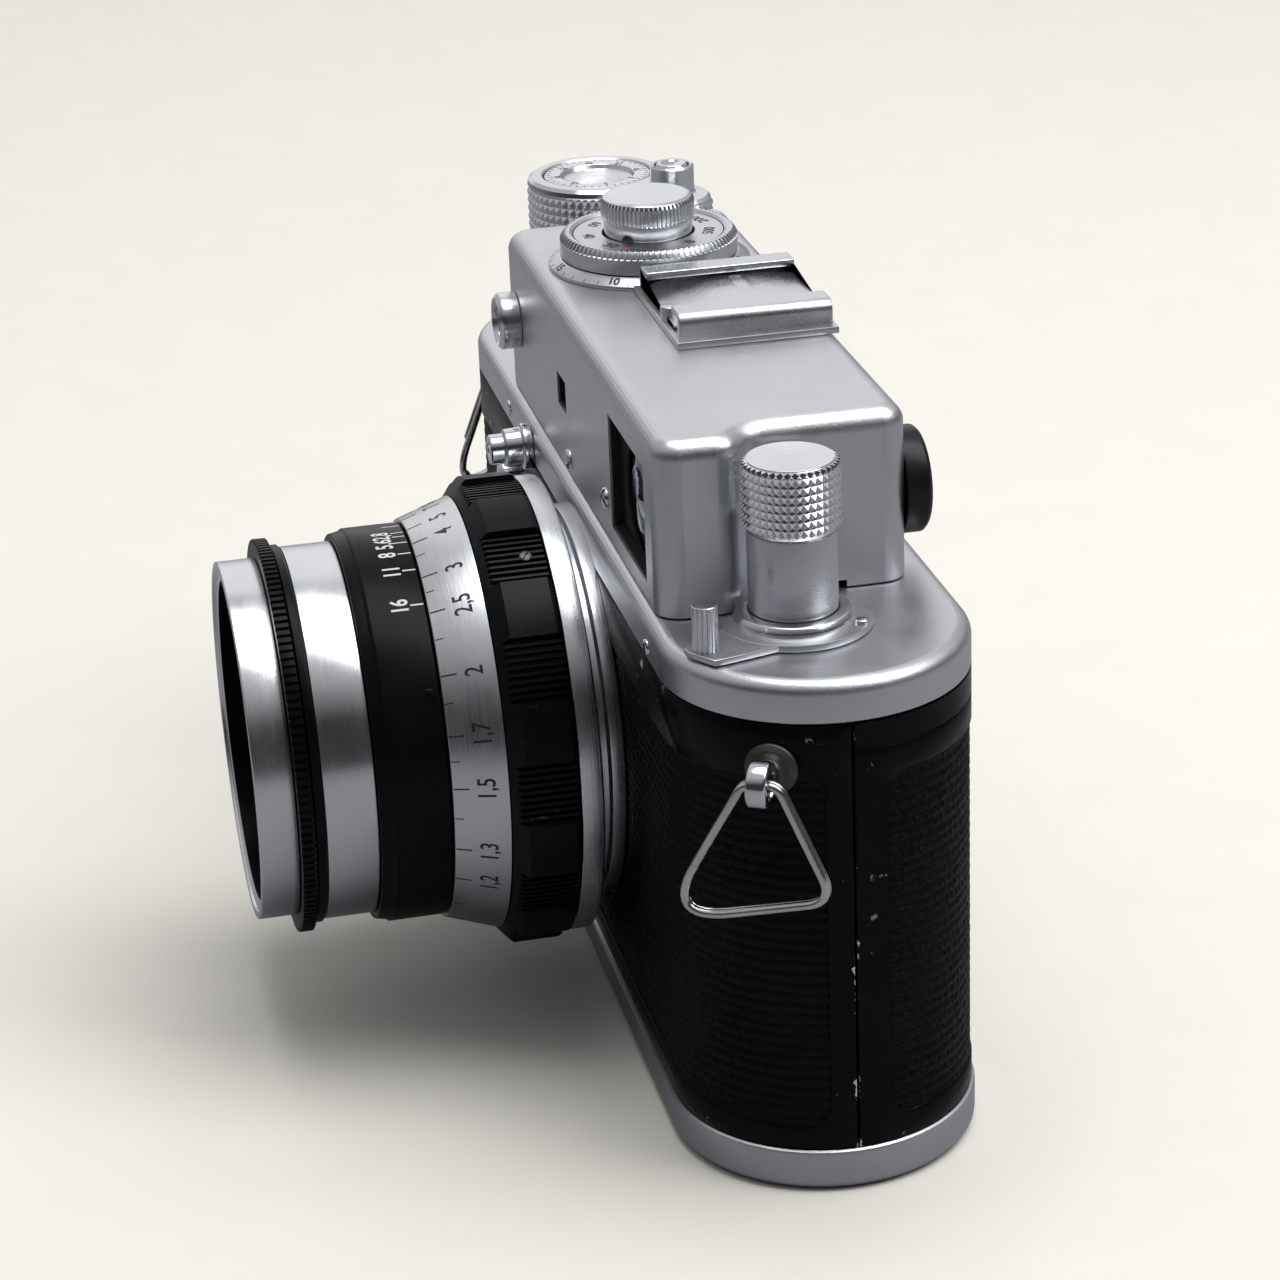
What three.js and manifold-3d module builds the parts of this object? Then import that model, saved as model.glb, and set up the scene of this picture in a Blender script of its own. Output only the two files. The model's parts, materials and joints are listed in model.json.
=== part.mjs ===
// A 35 mm rangefinder camera with a removable focusing lens, built as an assembly of separate parts.
// Millimetres. +Z is up, the lens looks along -Y, and +X is the rewind-knob end.
import * as THREE from "three";
import { mergeVertices } from "three/addons/utils/BufferGeometryUtils.js";
import Module from "manifold-3d";

const wasm = await Module();
wasm.setup();

// ---------------------------------------------------------------- driving dimensions

const GAP = 0.1; // running gap between neighbouring pieces
const SEAM = 0.3; // joint between the front shell and the back cover

// Body: a slab with round ends.
const HALF_LENGTH = 71;
const HALF_DEPTH = 17;
const WALL = 1.4;
const BASE_TOP = 5.1;
const BODY_BOTTOM = BASE_TOP + GAP;
const BODY_TOP = 55.8;
const SEAM_Y = -0.35;
const END_X = HALF_LENGTH - HALF_DEPTH;
const SKIN_THICKNESS = 0.4;
const SKIN_RECESS = 0.45;
const SKIN_BOTTOM = 8.4;
const SKIN_TOP = 47;
const REAR_SKIN_BOTTOM = 11;
const FRONT_SKIN_EDGE_Y = -3;
const REAR_SKIN_EDGE_Y = 3.6;

// Base plate and its locking keys.
const BASE_OVERHANG = 0.35;
const BASE_FLOOR = 1.6;
const KEY_X = 52;
const KEY_RADIUS = 9;
const KEY_LIFT = 0.3;
const KEY_THICKNESS = 2.6;
const KEY_CLEARANCE = 0.25;
const HANDLE_THICKNESS = 0.9;
const HANDLE_RADIUS = 7;
const HANDLE_WIDTH = 1.8;
const HANDLE_PIVOT_Y = -1.4;
const SOCKET_RADIUS = 5.5;
const SOCKET_BORE = 3.1;

// Top cover: a low shoulder round the whole body and a taller housing on it.
const SHOULDER_BOTTOM = 55.95;
const SHOULDER_TOP = 60.65;
const HOUSING_TOP = 80.8;
const HOUSING = { left: -36.5, right: 46.5, nose: 50, front: -15.8, back: 13.3 };
const NOSE_END_Y = -9.2;
const NOSE_BEND_Y = -5;
const COVER_WALL = 1.3;

// Axes that stand on the top cover.
const REWIND = { x: 53.9, y: -2, shaft: 4.85, head: 5.45 };
const WIND = { x: -53.8, y: 0.1, radius: 9.45, top: 82 };
const RELEASE = { x: -40.6, y: 7.3, radius: 5.3, step: 82.2, top: 85.9 };
const SPEED = { x: -15.75, y: -1.4 };

// Lens axis, and the rings on it by distance in front of the body's middle plane.
const LENS = { x: 9.8, z: 35.1 };
const LENS_SEGMENTS = 32;
const MOUNT_FRONT = 20.1;
const MOUNT_RADIUS = 23.6;
const THROAT_RADIUS = 18.9;
const BASE_RING_RADIUS = 27.1;
const GRIP = { back: 22.45, front: 28.3, radius: 28.1, cone: 26.2 };
const DISTANCE = { back: 30.85, front: 37.05, backRadius: 26, frontRadius: 23.9 };
const DEPTH = { back: 37.3, front: 45.35, backRadius: 23.5, frontRadius: 22.95 };
const BARREL = { back: 45.45, front: 52.75, radius: 22.2 };
const APERTURE = { back: 52.85, front: 54.45, radius: 23.4 };
const RIM = { back: 54.55, front: 59, radius: 21.25 };
const CORE_INNER = 15.7;
const TUBE = { inner: 13.5, outer: 15.5, back: 15.6 };
const BLADES = 5;
const BLADE = { pivot: 11.9, inner: 9.9, outer: 13, start: -0.08, end: 1.2, thickness: 0.25, pitch: 0.4, first: 36 };

// Film path.
const GATE = { width: 36, height: 24, front: 5, back: 8.6, left: -26, right: 39 };
const PRESSURE = { halfWidth: 30, bottom: 18.5, top: 51.5 };
const PLATE = { bottom: 5.7, thickness: 1.2, top: 55.6 };
const CHAMBER_RADIUS = 12.6;
const CHAMBER_WALL = 0.7;
const TAKE_UP_RADIUS = 12.4;
const BOX = { left: -11, right: 30.6, bottom: 20, top: 49, front: -13.2, back: 3.3, wall: 0.9 };
const CURTAIN = { y: 3.7, thickness: 0.4, left: -21, right: 37, bottom: 19, top: 50 };
const DRUM = { x: -18.6, y: -1.2, radius: 4.5 };
const ROLLER = { x: 35.4, y: 0.8, radius: 2.5 };
const SPROCKET = { x: -34, y: 2.5, radius: 5.4 };

// Strap lugs and rings, on the round ends.
const LUG = { angle: THREE.MathUtils.degToRad(30), height: 51, reach: 4.3, hole: 1.5, radius: 2.6 };
const RING = {
  bar: 1.2,
  thickness: 1.8,
  corners: [[-2, -0.6], [2, -0.6], [8.3, 13], [-12.6, 18]],
  reaches: [1.6, 1.6, 3.4, 7.6],
};

// The group is moved along Y so that the whole object is centred on the origin.
const FRONT_Y = -RIM.front;
const BACK_Y = HALF_DEPTH + BASE_OVERHANG;
const CENTRE_Y = (FRONT_Y + BACK_Y) / 2;

// ---------------------------------------------------------------- solids

// A geometry with shared vertices, no zero-size faces, and its faces pointing out.
function clean(geometry) {
  const bare = geometry.index ? geometry.toNonIndexed() : geometry.clone();
  for (const name of Object.keys(bare.attributes)) {
    if (name !== "position") bare.deleteAttribute(name);
  }
  bare.clearGroups();
  const merged = mergeVertices(bare, 1e-4);
  const position = merged.attributes.position;
  const corner = (i) => new THREE.Vector3().fromBufferAttribute(position, i);
  const kept = [];
  let volume = 0;
  for (let i = 0; i < merged.index.count; i += 3) {
    const [a, b, c] = [0, 1, 2].map((k) => merged.index.getX(i + k));
    if (a === b || b === c || c === a) continue;
    kept.push(a, b, c);
    volume += corner(a).dot(corner(b).cross(corner(c)));
  }
  if (volume < 0) kept.reverse();
  merged.setIndex(kept);
  return merged;
}

function toManifold(geometry) {
  const merged = clean(geometry);
  const mesh = new wasm.Mesh({
    numProp: 3,
    vertProperties: new Float32Array(merged.attributes.position.array),
    triVerts: new Uint32Array(merged.index.array),
  });
  return new wasm.Manifold(mesh);
}

function fromManifold(solid) {
  const mesh = solid.getMesh();
  const geometry = new THREE.BufferGeometry();
  geometry.setAttribute("position", new THREE.BufferAttribute(mesh.vertProperties, 3));
  geometry.setIndex(new THREE.BufferAttribute(mesh.triVerts, 1));
  geometry.computeVertexNormals();
  return geometry;
}

function join(first, ...others) {
  const solid = others.reduce((sum, next) => sum.add(toManifold(next)), toManifold(first));
  return fromManifold(solid);
}

function cut(first, ...tools) {
  const solid = tools.reduce((rest, tool) => rest.subtract(toManifold(tool)), toManifold(first));
  return fromManifold(solid);
}

function common(first, second) {
  return fromManifold(toManifold(first).intersect(toManifold(second)));
}

// A box from its low corner to its high corner.
function block(x0, x1, y0, y1, z0, z1) {
  const box = new THREE.BoxGeometry(x1 - x0, y1 - y0, z1 - z0);
  return box.translate((x0 + x1) / 2, (y0 + y1) / 2, (z0 + z1) / 2);
}

// A solid of revolution about Z from [radius, height] points. A profile off the axis is closed.
function revolve(points, segments = 20) {
  const profile = points.map(([r, z]) => new THREE.Vector2(r, z));
  const onAxis = points[0][0] === 0 && points[points.length - 1][0] === 0;
  if (!onAxis) profile.push(profile[0].clone());
  return new THREE.LatheGeometry(profile, segments).rotateX(Math.PI / 2);
}

function disc(radius, z0, z1, segments = 20) {
  return revolve([[0, z0], [radius, z0], [radius, z1], [0, z1]], segments);
}

function ring(inner, outer, z0, z1, segments = 20) {
  return revolve([[inner, z0], [outer, z0], [outer, z1], [inner, z1]], segments);
}

// A disc or ring about a vertical axis through a place on the cover.
function at(place, geometry) {
  return geometry.translate(place.x, place.y, 0);
}

// A prism with a flat outline, standing from z0 to z1.
function prism(shape, z0, z1, curveSegments = 8) {
  const options = { depth: z1 - z0, bevelEnabled: false, curveSegments };
  return new THREE.ExtrudeGeometry(shape, options).translate(0, 0, z0);
}

// The body's outline, moved inwards by inset.
function slabShape(inset) {
  const radius = HALF_DEPTH - inset;
  const shape = new THREE.Shape();
  shape.moveTo(-END_X, -radius);
  shape.lineTo(END_X, -radius);
  shape.absarc(END_X, 0, radius, -Math.PI / 2, Math.PI / 2, false);
  shape.lineTo(-END_X, radius);
  shape.absarc(-END_X, 0, radius, Math.PI / 2, (3 * Math.PI) / 2, false);
  return shape;
}

function slab(inset, z0, z1) {
  return prism(slabShape(inset), z0, z1);
}

function slabRing(outerInset, innerInset, z0, z1) {
  return cut(slab(outerInset, z0, z1), slab(innerInset, z0 - 1, z1 + 1));
}

// A cylinder along the lens axis, between two distances in front of the middle plane.
function lensBore(radius, near, far) {
  const bore = disc(radius, near, far, LENS_SEGMENTS).rotateX(Math.PI / 2);
  return bore.translate(LENS.x, 0, LENS.z);
}

// ---------------------------------------------------------------- body, back and base

const FAR = 200;
const behind = (y) => block(-FAR, FAR, y, FAR, -FAR, FAR);
const inFrontOf = (y) => block(-FAR, FAR, -FAR, y, -FAR, FAR);

function bodyShell() {
  const skin = common(slabRing(-1, SKIN_RECESS, SKIN_BOTTOM, SKIN_TOP), inFrontOf(FRONT_SKIN_EDGE_Y));
  const wall = cut(slabRing(0, WALL, BODY_BOTTOM, BODY_TOP), behind(SEAM_Y - SEAM / 2), skin);
  const buttonHole = acrossY({ x: TIMER.x, z: TIMER.release }, TIMER.button + 0.15, -20, -10);
  return cut(wall, lensBore(THROAT_RADIUS + 1.2, 10, 20), buttonHole);
}

function frontLeatherette() {
  const inset = SKIN_RECESS - SKIN_THICKNESS;
  const band = slabRing(inset, SKIN_RECESS - 0.01, SKIN_BOTTOM + GAP, SKIN_TOP - GAP);
  const hole = lensBore(MOUNT_RADIUS + 0.4, 10, 20);
  return cut(band, behind(FRONT_SKIN_EDGE_Y - GAP), hole);
}

function backCover() {
  const skin = common(slabRing(-1, SKIN_RECESS, REAR_SKIN_BOTTOM, SKIN_TOP), behind(REAR_SKIN_EDGE_Y));
  return cut(slabRing(0, WALL, BODY_BOTTOM, BODY_TOP), inFrontOf(SEAM_Y + SEAM / 2), skin);
}

function rearLeatherette() {
  const inset = SKIN_RECESS - SKIN_THICKNESS;
  const band = slabRing(inset, SKIN_RECESS - 0.01, REAR_SKIN_BOTTOM + GAP, SKIN_TOP - GAP);
  return cut(band, inFrontOf(REAR_SKIN_EDGE_Y + GAP));
}

function basePlate() {
  const tray = cut(slab(-BASE_OVERHANG, 0, BASE_TOP), slab(WALL, BASE_FLOOR, BASE_TOP + 1));
  const keyHoles = [-KEY_X, KEY_X].map((x) => at({ x, y: 0 }, disc(KEY_RADIUS + KEY_CLEARANCE, -1, BASE_TOP)));
  return cut(tray, ...keyHoles, disc(SOCKET_RADIUS + 0.02, -1, BASE_TOP));
}

function tripodSocket() {
  const collar = SOCKET_RADIUS + 1.5;
  const top = BASE_TOP - GAP;
  const shelf = BASE_FLOOR + 0.05;
  return revolve([
    [SOCKET_BORE, 0], [SOCKET_RADIUS, 0], [SOCKET_RADIUS, shelf],
    [collar, shelf], [collar, top], [SOCKET_BORE, top],
  ]);
}

// A half disc with a straight back edge at y0, used for the handle and its recess.
function halfDisc(radius, y0, z0, z1) {
  return cut(disc(radius, z0, z1, 24), block(-FAR, FAR, -FAR, y0, -FAR, FAR));
}

function lockDisc() {
  const top = KEY_LIFT + KEY_THICKNESS;
  const depth = KEY_LIFT + HANDLE_THICKNESS + 0.5;
  const recess = halfDisc(HANDLE_RADIUS + 0.5, HANDLE_PIVOT_Y - 1.2, -1, depth);
  return cut(disc(KEY_RADIUS, KEY_LIFT, top), recess);
}

// The handle lies about its own hinge line, which is the local X axis.
function lockHandle() {
  const half = HANDLE_THICKNESS / 2;
  const outer = halfDisc(HANDLE_RADIUS, HANDLE_PIVOT_Y - half, -half, half);
  const inner = halfDisc(HANDLE_RADIUS - HANDLE_WIDTH, HANDLE_PIVOT_Y + half + 0.3, -half - 1, half + 1);
  return cut(outer, inner).translate(0, -HANDLE_PIVOT_Y, 0);
}

function pressurePlate() {
  const { halfWidth, bottom, top } = PRESSURE;
  const [near, far] = [GATE.back + 0.3, GATE.back + 1.5];
  const plate = block(LENS.x - halfWidth, LENS.x + halfWidth, near, far, bottom, top);
  const spring = block(LENS.x - 12, LENS.x + 12, GATE.back + 1.5, GATE.back + 4.2, 33, 37);
  return join(plate, spring);
}

// ---------------------------------------------------------------- film chassis and shutter

function chamberWall(place, radius) {
  const shell = at(place, ring(radius, radius + CHAMBER_WALL, PLATE.bottom, PLATE.top, 24));
  return cut(shell, behind(GATE.front));
}

function chassisPlate(z0) {
  return slab(WALL + 0.15, z0, z0 + PLATE.thickness);
}

function filmChassis() {
  const upper = PLATE.top - PLATE.thickness;
  const front = block(-38, 38, -15.2, -13.6, PLATE.bottom, PLATE.top);
  const tunnel = block(BOX.left, BOX.right, BOX.front, BOX.back, BOX.bottom, BOX.top);
  const web = block(BOX.left, BOX.left + BOX.wall, -14, BOX.back, PLATE.bottom, BOX.top);
  const solid = join(
    chassisPlate(PLATE.bottom), chassisPlate(upper), front, tunnel, web,
    chamberWall(REWIND, CHAMBER_RADIUS), chamberWall(WIND, TAKE_UP_RADIUS),
  );
  const w = BOX.wall;
  const hollow = block(
    BOX.left + w, BOX.right - w, -FAR, BOX.back + 1, BOX.bottom + w, BOX.top - w,
  );
  const light = cut(hollow, inFrontOf(-15));
  const throat = lensBore(THROAT_RADIUS + 2.4, 13.3, 16);
  const armSlot = block(7.4, 12.2, -15.5, -3, BOX.top + 0.01, FAR);
  const holes = [
    at(REWIND, disc(3.5, upper - 1, FAR, 16)), at(WIND, disc(3, 0, FAR, 16)),
    at(RELEASE, disc(2.7, upper - 1, FAR, 16)), at(SPROCKET, disc(2.4, 0, FAR, 16)),
    at(DRUM, disc(1.5, 0, FAR, 12)), at(ROLLER, disc(1.3, 0, FAR, 12)),
  ];
  const pressurePath = block(
    LENS.x - PRESSURE.halfWidth - 1, LENS.x + PRESSURE.halfWidth + 1, GATE.back + GAP, FAR,
    0, PLATE.bottom + PLATE.thickness + 1,
  );
  return cut(solid, light, throat, armSlot, pressurePath, ...holes);
}

// The plate with the picture window, between the two film chambers.
function filmGate() {
  const [low, high] = [PLATE.bottom + PLATE.thickness + 0.02, PLATE.top - PLATE.thickness - 0.02];
  const plate = block(GATE.left, GATE.right, GATE.front, GATE.back, low, high);
  const [halfWidth, halfHeight] = [GATE.width / 2, GATE.height / 2];
  const window = block(
    LENS.x - halfWidth, LENS.x + halfWidth, GATE.front - 1, GATE.back + 1,
    LENS.z - halfHeight, LENS.z + halfHeight,
  );
  return cut(plate, window);
}

function curtain() {
  const { y, thickness, left, right, bottom, top } = CURTAIN;
  return block(left, right, y, y + thickness, bottom, top);
}

function roller(place, pin) {
  const [low, high] = [PLATE.bottom + 0.3, PLATE.top - 0.3];
  const shoulder = PLATE.thickness + 0.5;
  return at(place, revolve([
    [0, low], [pin, low], [pin, low + shoulder], [place.radius, low + shoulder],
    [place.radius, high - shoulder], [pin, high - shoulder], [pin, high], [0, high],
  ], 20));
}

function takeUpSpool() {
  const [low, high, flange, core] = [7.4, 53.6, 9.5, 6];
  return at(WIND, revolve([
    [0, low - 1.2], [2.6, low - 1.2], [2.6, low], [flange, low], [flange, low + 1.5], [core, low + 1.5],
    [core, high - 1.5], [flange, high - 1.5], [flange, high], [0, high],
  ], 28));
}

function sprocketDrum() {
  const [low, high, core, pin] = [7.6, 53.4, 4, 2.1];
  const body = at(SPROCKET, revolve([
    [0, low - 1.4], [pin, low - 1.4], [pin, low], [core, low], [core, high], [pin, high],
    [pin, high + 3], [0, high + 3],
  ], 20));
  const wheels = [LENS.z - 16.3, LENS.z + 13.3].map(
    (z) => at(SPROCKET, disc(SPROCKET.radius, z, z + 3, 16)),
  );
  return join(body, ...wheels);
}

// ---------------------------------------------------------------- top cover and what stands on it

// The housing's outline, moved inwards by inset, with its nose in front of the rewind knob.
function housingShape(inset) {
  const left = HOUSING.left + inset;
  const right = HOUSING.right - inset;
  const nose = HOUSING.nose - inset;
  const front = HOUSING.front + inset;
  const back = HOUSING.back - inset;
  const radius = 3 - inset / 2;
  const shape = new THREE.Shape();
  shape.moveTo(left + radius, front);
  shape.lineTo(nose - radius, front);
  shape.quadraticCurveTo(nose, front, nose, front + radius);
  shape.lineTo(nose, NOSE_END_Y);
  shape.bezierCurveTo(nose, NOSE_END_Y + 2.4, right, NOSE_BEND_Y - 2.4, right, NOSE_BEND_Y);
  shape.lineTo(right, back - radius);
  shape.quadraticCurveTo(right, back, right - radius, back);
  shape.lineTo(left + radius, back);
  shape.quadraticCurveTo(left, back, left, back - radius);
  shape.lineTo(left, front + radius);
  shape.quadraticCurveTo(left, front, left + radius, front);
  return shape;
}

const TIMER = { x: -29, lever: 41, release: 50.2, button: 1.9 };
const VIEW_WINDOW = { left: 26, right: 44, bottom: 63, top: 76.5 };
const FLASH_SLOT = { left: -4, right: 1, bottom: 68, top: 72 };
const RANGE_WINDOW = { x: -30, z: 70.5, radius: 3.6, bore: 2.6, reach: 2.8 };
const ARM_PIVOT = { y: -12.4, z: 57.6 };
const EYEPIECE = { x: 39.6, z: 70, radius: 6, bore: 4.4, reach: 3 };

function frontCutter({ left, right, bottom, top }) {
  return block(left, right, HOUSING.front - 5, HOUSING.front + 5, bottom, top);
}

// A cylinder along Y at a place on the housing's front or rear face.
function acrossY(place, radius, y0, y1) {
  return disc(radius, -y1, -y0, 24).rotateX(Math.PI / 2).translate(place.x, 0, place.z);
}

function topCover() {
  const shoulder = slab(0, SHOULDER_BOTTOM, SHOULDER_TOP);
  const housing = prism(housingShape(0), SHOULDER_BOTTOM, HOUSING_TOP, 6);
  const hollowLow = slab(WALL + 0.2, SHOULDER_BOTTOM - 1, SHOULDER_TOP - COVER_WALL);
  const hollowHigh = prism(housingShape(COVER_WALL + 0.4), SHOULDER_BOTTOM - 1, HOUSING_TOP - COVER_WALL, 6);
  const scallop = at(RELEASE, disc(RELEASE.radius + 0.6, SHOULDER_TOP, FAR));
  const scallopWall = at(RELEASE, disc(RELEASE.radius + 0.6 + COVER_WALL, SHOULDER_TOP - 1, FAR));
  const holes = [
    at(REWIND, disc(REWIND.shaft + 0.2, SHOULDER_BOTTOM - 1, FAR)), at(WIND, disc(2.9, SHOULDER_BOTTOM - 1, FAR)),
    at(RELEASE, disc(2.6, SHOULDER_BOTTOM - 1, FAR)), at(SPEED, disc(3, SHOULDER_TOP, FAR)),
    frontCutter(VIEW_WINDOW), frontCutter(FLASH_SLOT),
    acrossY(RANGE_WINDOW, RANGE_WINDOW.bore + 0.2, HOUSING.front - 1, HOUSING.front + 3),
    acrossY(EYEPIECE, EYEPIECE.bore, HOUSING.back - 3, HOUSING.back + 1),
  ];
  return cut(join(shoulder, housing), hollowLow, cut(hollowHigh, scallopWall), scallop, ...holes);
}

function accessoryShoe() {
  const [left, right, front, back] = [-6, 19.5, -6, 13];
  const [floor, ceiling, top] = [HOUSING_TOP + 0.85, 83.3, 84.2];
  const [channel, opening, wall] = [9.45, 6.5, 1.2];
  const middle = (left + right) / 2;
  const dialClearance = at(SPEED, disc(12.6, HOUSING_TOP - 1, floor + 0.01));
  const plate = cut(block(left, right, front, back, HOUSING_TOP + 0.02, floor), dialClearance);
  const rail = block(middle - channel - wall, middle + channel + wall, front, back, floor - 0.1, top);
  const slot = block(middle - channel, middle + channel, front - 1, back + 1, floor, ceiling);
  const mouth = block(middle - opening, middle + opening, front - 1, back + 1, floor, top + 1);
  return cut(join(plate, rail), slot, mouth);
}

function shoeSpring() {
  const [bottom, crown] = [HOUSING_TOP + 0.87, HOUSING_TOP + 1.9];
  const side = new THREE.Shape();
  side.moveTo(-4.5, bottom);
  side.quadraticCurveTo(3.5, 2 * crown - bottom, 11.5, bottom);
  side.lineTo(11.5, bottom + 0.4);
  side.quadraticCurveTo(3.5, 2 * crown - bottom + 0.4, -4.5, bottom + 0.4);
  const strip = new THREE.ExtrudeGeometry(side, { depth: 9, bevelEnabled: false, curveSegments: 8 });
  return strip.rotateX(Math.PI / 2).rotateZ(Math.PI / 2).translate(2.25, 0, 0);
}

function syncScalePlate() {
  return at(SPEED, ring(3, 12.4, HOUSING_TOP + 0.02, 81.5, 28));
}

function syncRing() {
  return at(SPEED, ring(9.3, 10.9, 81.6, 85, 28));
}

// The engraved disc and the spindle under it.
function speedSpindle() {
  return at(SPEED, revolve([
    [0, 66], [2.8, 66], [2.8, 81.6], [9.2, 81.6], [9.2, 84.7], [5.7, 84.7], [5.7, 82.4], [2, 82.4],
    [2, 87.2], [0, 87.2],
  ], 28));
}

function speedKnob() {
  return at(SPEED, revolve([
    [2.1, 82.5], [5.5, 82.5], [5.5, 86.4], [5.75, 86.6], [5.75, 89.2], [5.5, 89.4], [0, 89.4],
    [0, 87.3], [2.1, 87.3],
  ]));
}

function windKnob() {
  const { radius, top } = WIND;
  const base = SHOULDER_TOP + 0.35;
  return at(WIND, revolve([
    [0, 54], [2.7, 54], [2.7, base], [radius - 0.5, base], [radius, base + 0.5],
    [radius, top - 0.5], [radius - 0.5, top], [7.3, top], [7.3, top - 1.6], [0, top - 1.6],
  ], 28));
}

function frameCounter() {
  const low = WIND.top - 1.5;
  return at(WIND, revolve([
    [0, low], [7.1, low], [7.1, WIND.top - 0.1], [4.8, WIND.top - 0.1], [3.6, low + 0.5], [0, low + 0.5],
  ], 28));
}

function releaseCollar() {
  const { radius, step, top } = RELEASE;
  const base = SHOULDER_TOP + 0.1;
  return at(RELEASE, revolve([
    [2.3, base], [radius, base], [radius, step - 0.3], [2.85, step], [2.85, top], [2.3, top],
  ], 28));
}

function releaseButton() {
  const { top } = RELEASE;
  return at(RELEASE, revolve([[0, 56.2], [2.1, 56.2], [2.1, top], [1.6, top + 0.2], [0, top - 0.3]]));
}

// The pull-up sleeve, its spindle and the fork that turns the film cassette.
function rewindSpindle() {
  const { shaft } = REWIND;
  const turned = at(REWIND, revolve([
    [0, 50], [3.1, 50], [3.1, 61.6], [shaft, 61.6], [shaft, 71.6], [3.4, 71.6], [3.4, 63], [2.9, 63],
    [0, 63],
  ]));
  const slot = block(REWIND.x - 1, REWIND.x + 1, REWIND.y - 5, REWIND.y + 5, 49, 51.6);
  return cut(turned, slot);
}

function rewindKnob() {
  const { head } = REWIND;
  return at(REWIND, revolve([
    [0, 63.1], [3.2, 63.1], [3.2, 71.7], [head - 0.3, 71.7], [head, 72], [head, 78.4], [head - 1, 79.5],
    [0, 79.5],
  ]));
}

// The eyesight lever: a flat plate round the rewind knob, an arm and a ribbed post.
function diopterLever() {
  const [low, high] = [SHOULDER_TOP + 0.1, 61.5];
  const ear = cut(at(REWIND, disc(8.6, low, high)), block(-FAR, REWIND.x, -FAR, FAR, 0, FAR));
  const plate = join(at(REWIND, disc(6.95, low, high)), ear);
  const arm = new THREE.Shape();
  arm.moveTo(REWIND.x - 1, REWIND.y - 5);
  arm.lineTo(58.2, -14.6);
  arm.lineTo(60.2, -15.4);
  arm.lineTo(63.4, -13.2);
  arm.lineTo(61.4, -11.2);
  arm.lineTo(REWIND.x + 7.6, REWIND.y - 3);
  const post = at({ x: 60.2, y: -13.2 }, disc(1.4, low, 66.6, 16));
  const collar = at(REWIND, revolve([[0, low], [6.9, low], [6.2, 63.2], [0, 63.2]]));
  const bore = at(REWIND, disc(REWIND.shaft + 0.15, 0, FAR));
  return cut(join(plate, prism(arm, low, high), post, collar), bore);
}

// ---------------------------------------------------------------- windows and finder

function rangeWindow() {
  const { radius, bore, reach } = RANGE_WINDOW;
  return revolve([
    [bore, -1.4], [bore + 0.15, -1.4], [bore + 0.15, 0.05], [radius, 0.05], [radius, reach], [bore, reach],
  ], 24);
}

function eyepieceRing() {
  const { radius, bore, reach } = EYEPIECE;
  return revolve([
    [bore - 0.9, -1], [bore - 0.1, -1], [bore - 0.1, 0.05], [radius, 0.05], [radius, reach - 0.5],
    [radius - 0.5, reach], [bore - 0.9, reach],
  ], 28);
}

function glassDisc(radius, thickness, bulge) {
  return revolve([[0, 0], [radius, 0], [radius, thickness], [radius * 0.6, thickness + bulge * 0.7], [0, thickness + bulge]], 28);
}

function finderBlock() {
  const outer = block(27.6, 44.4, -12.9, 9.5, 62.4, 77.6);
  return cut(outer, block(28.6, 43.4, -14, 11, 63.4, 76.6));
}

// ---------------------------------------------------------------- lens, on its own axis

function mountRing() {
  return revolve([
    [THROAT_RADIUS, 15.3], [THROAT_RADIUS + 1, 15.3], [THROAT_RADIUS + 1, HALF_DEPTH + 0.05],
    [MOUNT_RADIUS, HALF_DEPTH + 0.05], [MOUNT_RADIUS, 18.6], [MOUNT_RADIUS - 0.9, 18.7],
    [MOUNT_RADIUS - 0.9, MOUNT_FRONT], [THROAT_RADIUS, MOUNT_FRONT],
  ], LENS_SEGMENTS);
}

function lensBaseRing() {
  const [back, thread, throat, edge] = [16.6, THROAT_RADIUS - 0.2, 17.4, BASE_RING_RADIUS + 0.3];
  return revolve([
    [throat, back], [thread, back], [thread, MOUNT_FRONT + 0.1], [BASE_RING_RADIUS, MOUNT_FRONT + 0.1],
    [edge, 20.6], [edge, GRIP.back - 0.15], [throat, GRIP.back - 0.15], [throat, 36], [CORE_INNER, 36],
    [CORE_INNER, MOUNT_FRONT + 0.1], [throat, MOUNT_FRONT + 0.1],
  ], LENS_SEGMENTS);
}

function focusGrip() {
  return revolve([
    [17.6, GRIP.back], [GRIP.radius, GRIP.back], [GRIP.radius, GRIP.front], [GRIP.cone, DISTANCE.back - 0.1],
    [21.1, DISTANCE.back - 0.1], [21.1, 29.4], [17.6, 29.4],
  ], LENS_SEGMENTS);
}

function distanceRing() {
  return revolve([
    [21.1, DISTANCE.back], [DISTANCE.backRadius, DISTANCE.back],
    [DISTANCE.frontRadius, DISTANCE.front], [21.1, DISTANCE.front],
  ], LENS_SEGMENTS);
}

function depthRing() {
  return revolve([
    [18.2, 30], [20.8, 30], [20.8, DEPTH.back], [DEPTH.backRadius, DEPTH.back],
    [DEPTH.backRadius, DEPTH.front - 1.6], [DEPTH.frontRadius, DEPTH.front], [15.6, DEPTH.front],
    [15.6, DEPTH.front - 3], [18.2, DEPTH.front - 3],
  ], LENS_SEGMENTS);
}

function lensBarrel() {
  const neck = 19.8;
  return revolve([
    [TUBE.inner, TUBE.back], [TUBE.outer, TUBE.back], [TUBE.outer, BARREL.back],
    [BARREL.radius, BARREL.back], [BARREL.radius, BARREL.front], [neck, BARREL.front],
    [neck, RIM.back - 0.05], [18.6, RIM.back - 0.05], [18.6, 48.4], [TUBE.inner, 48.4],
  ], LENS_SEGMENTS);
}

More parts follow.
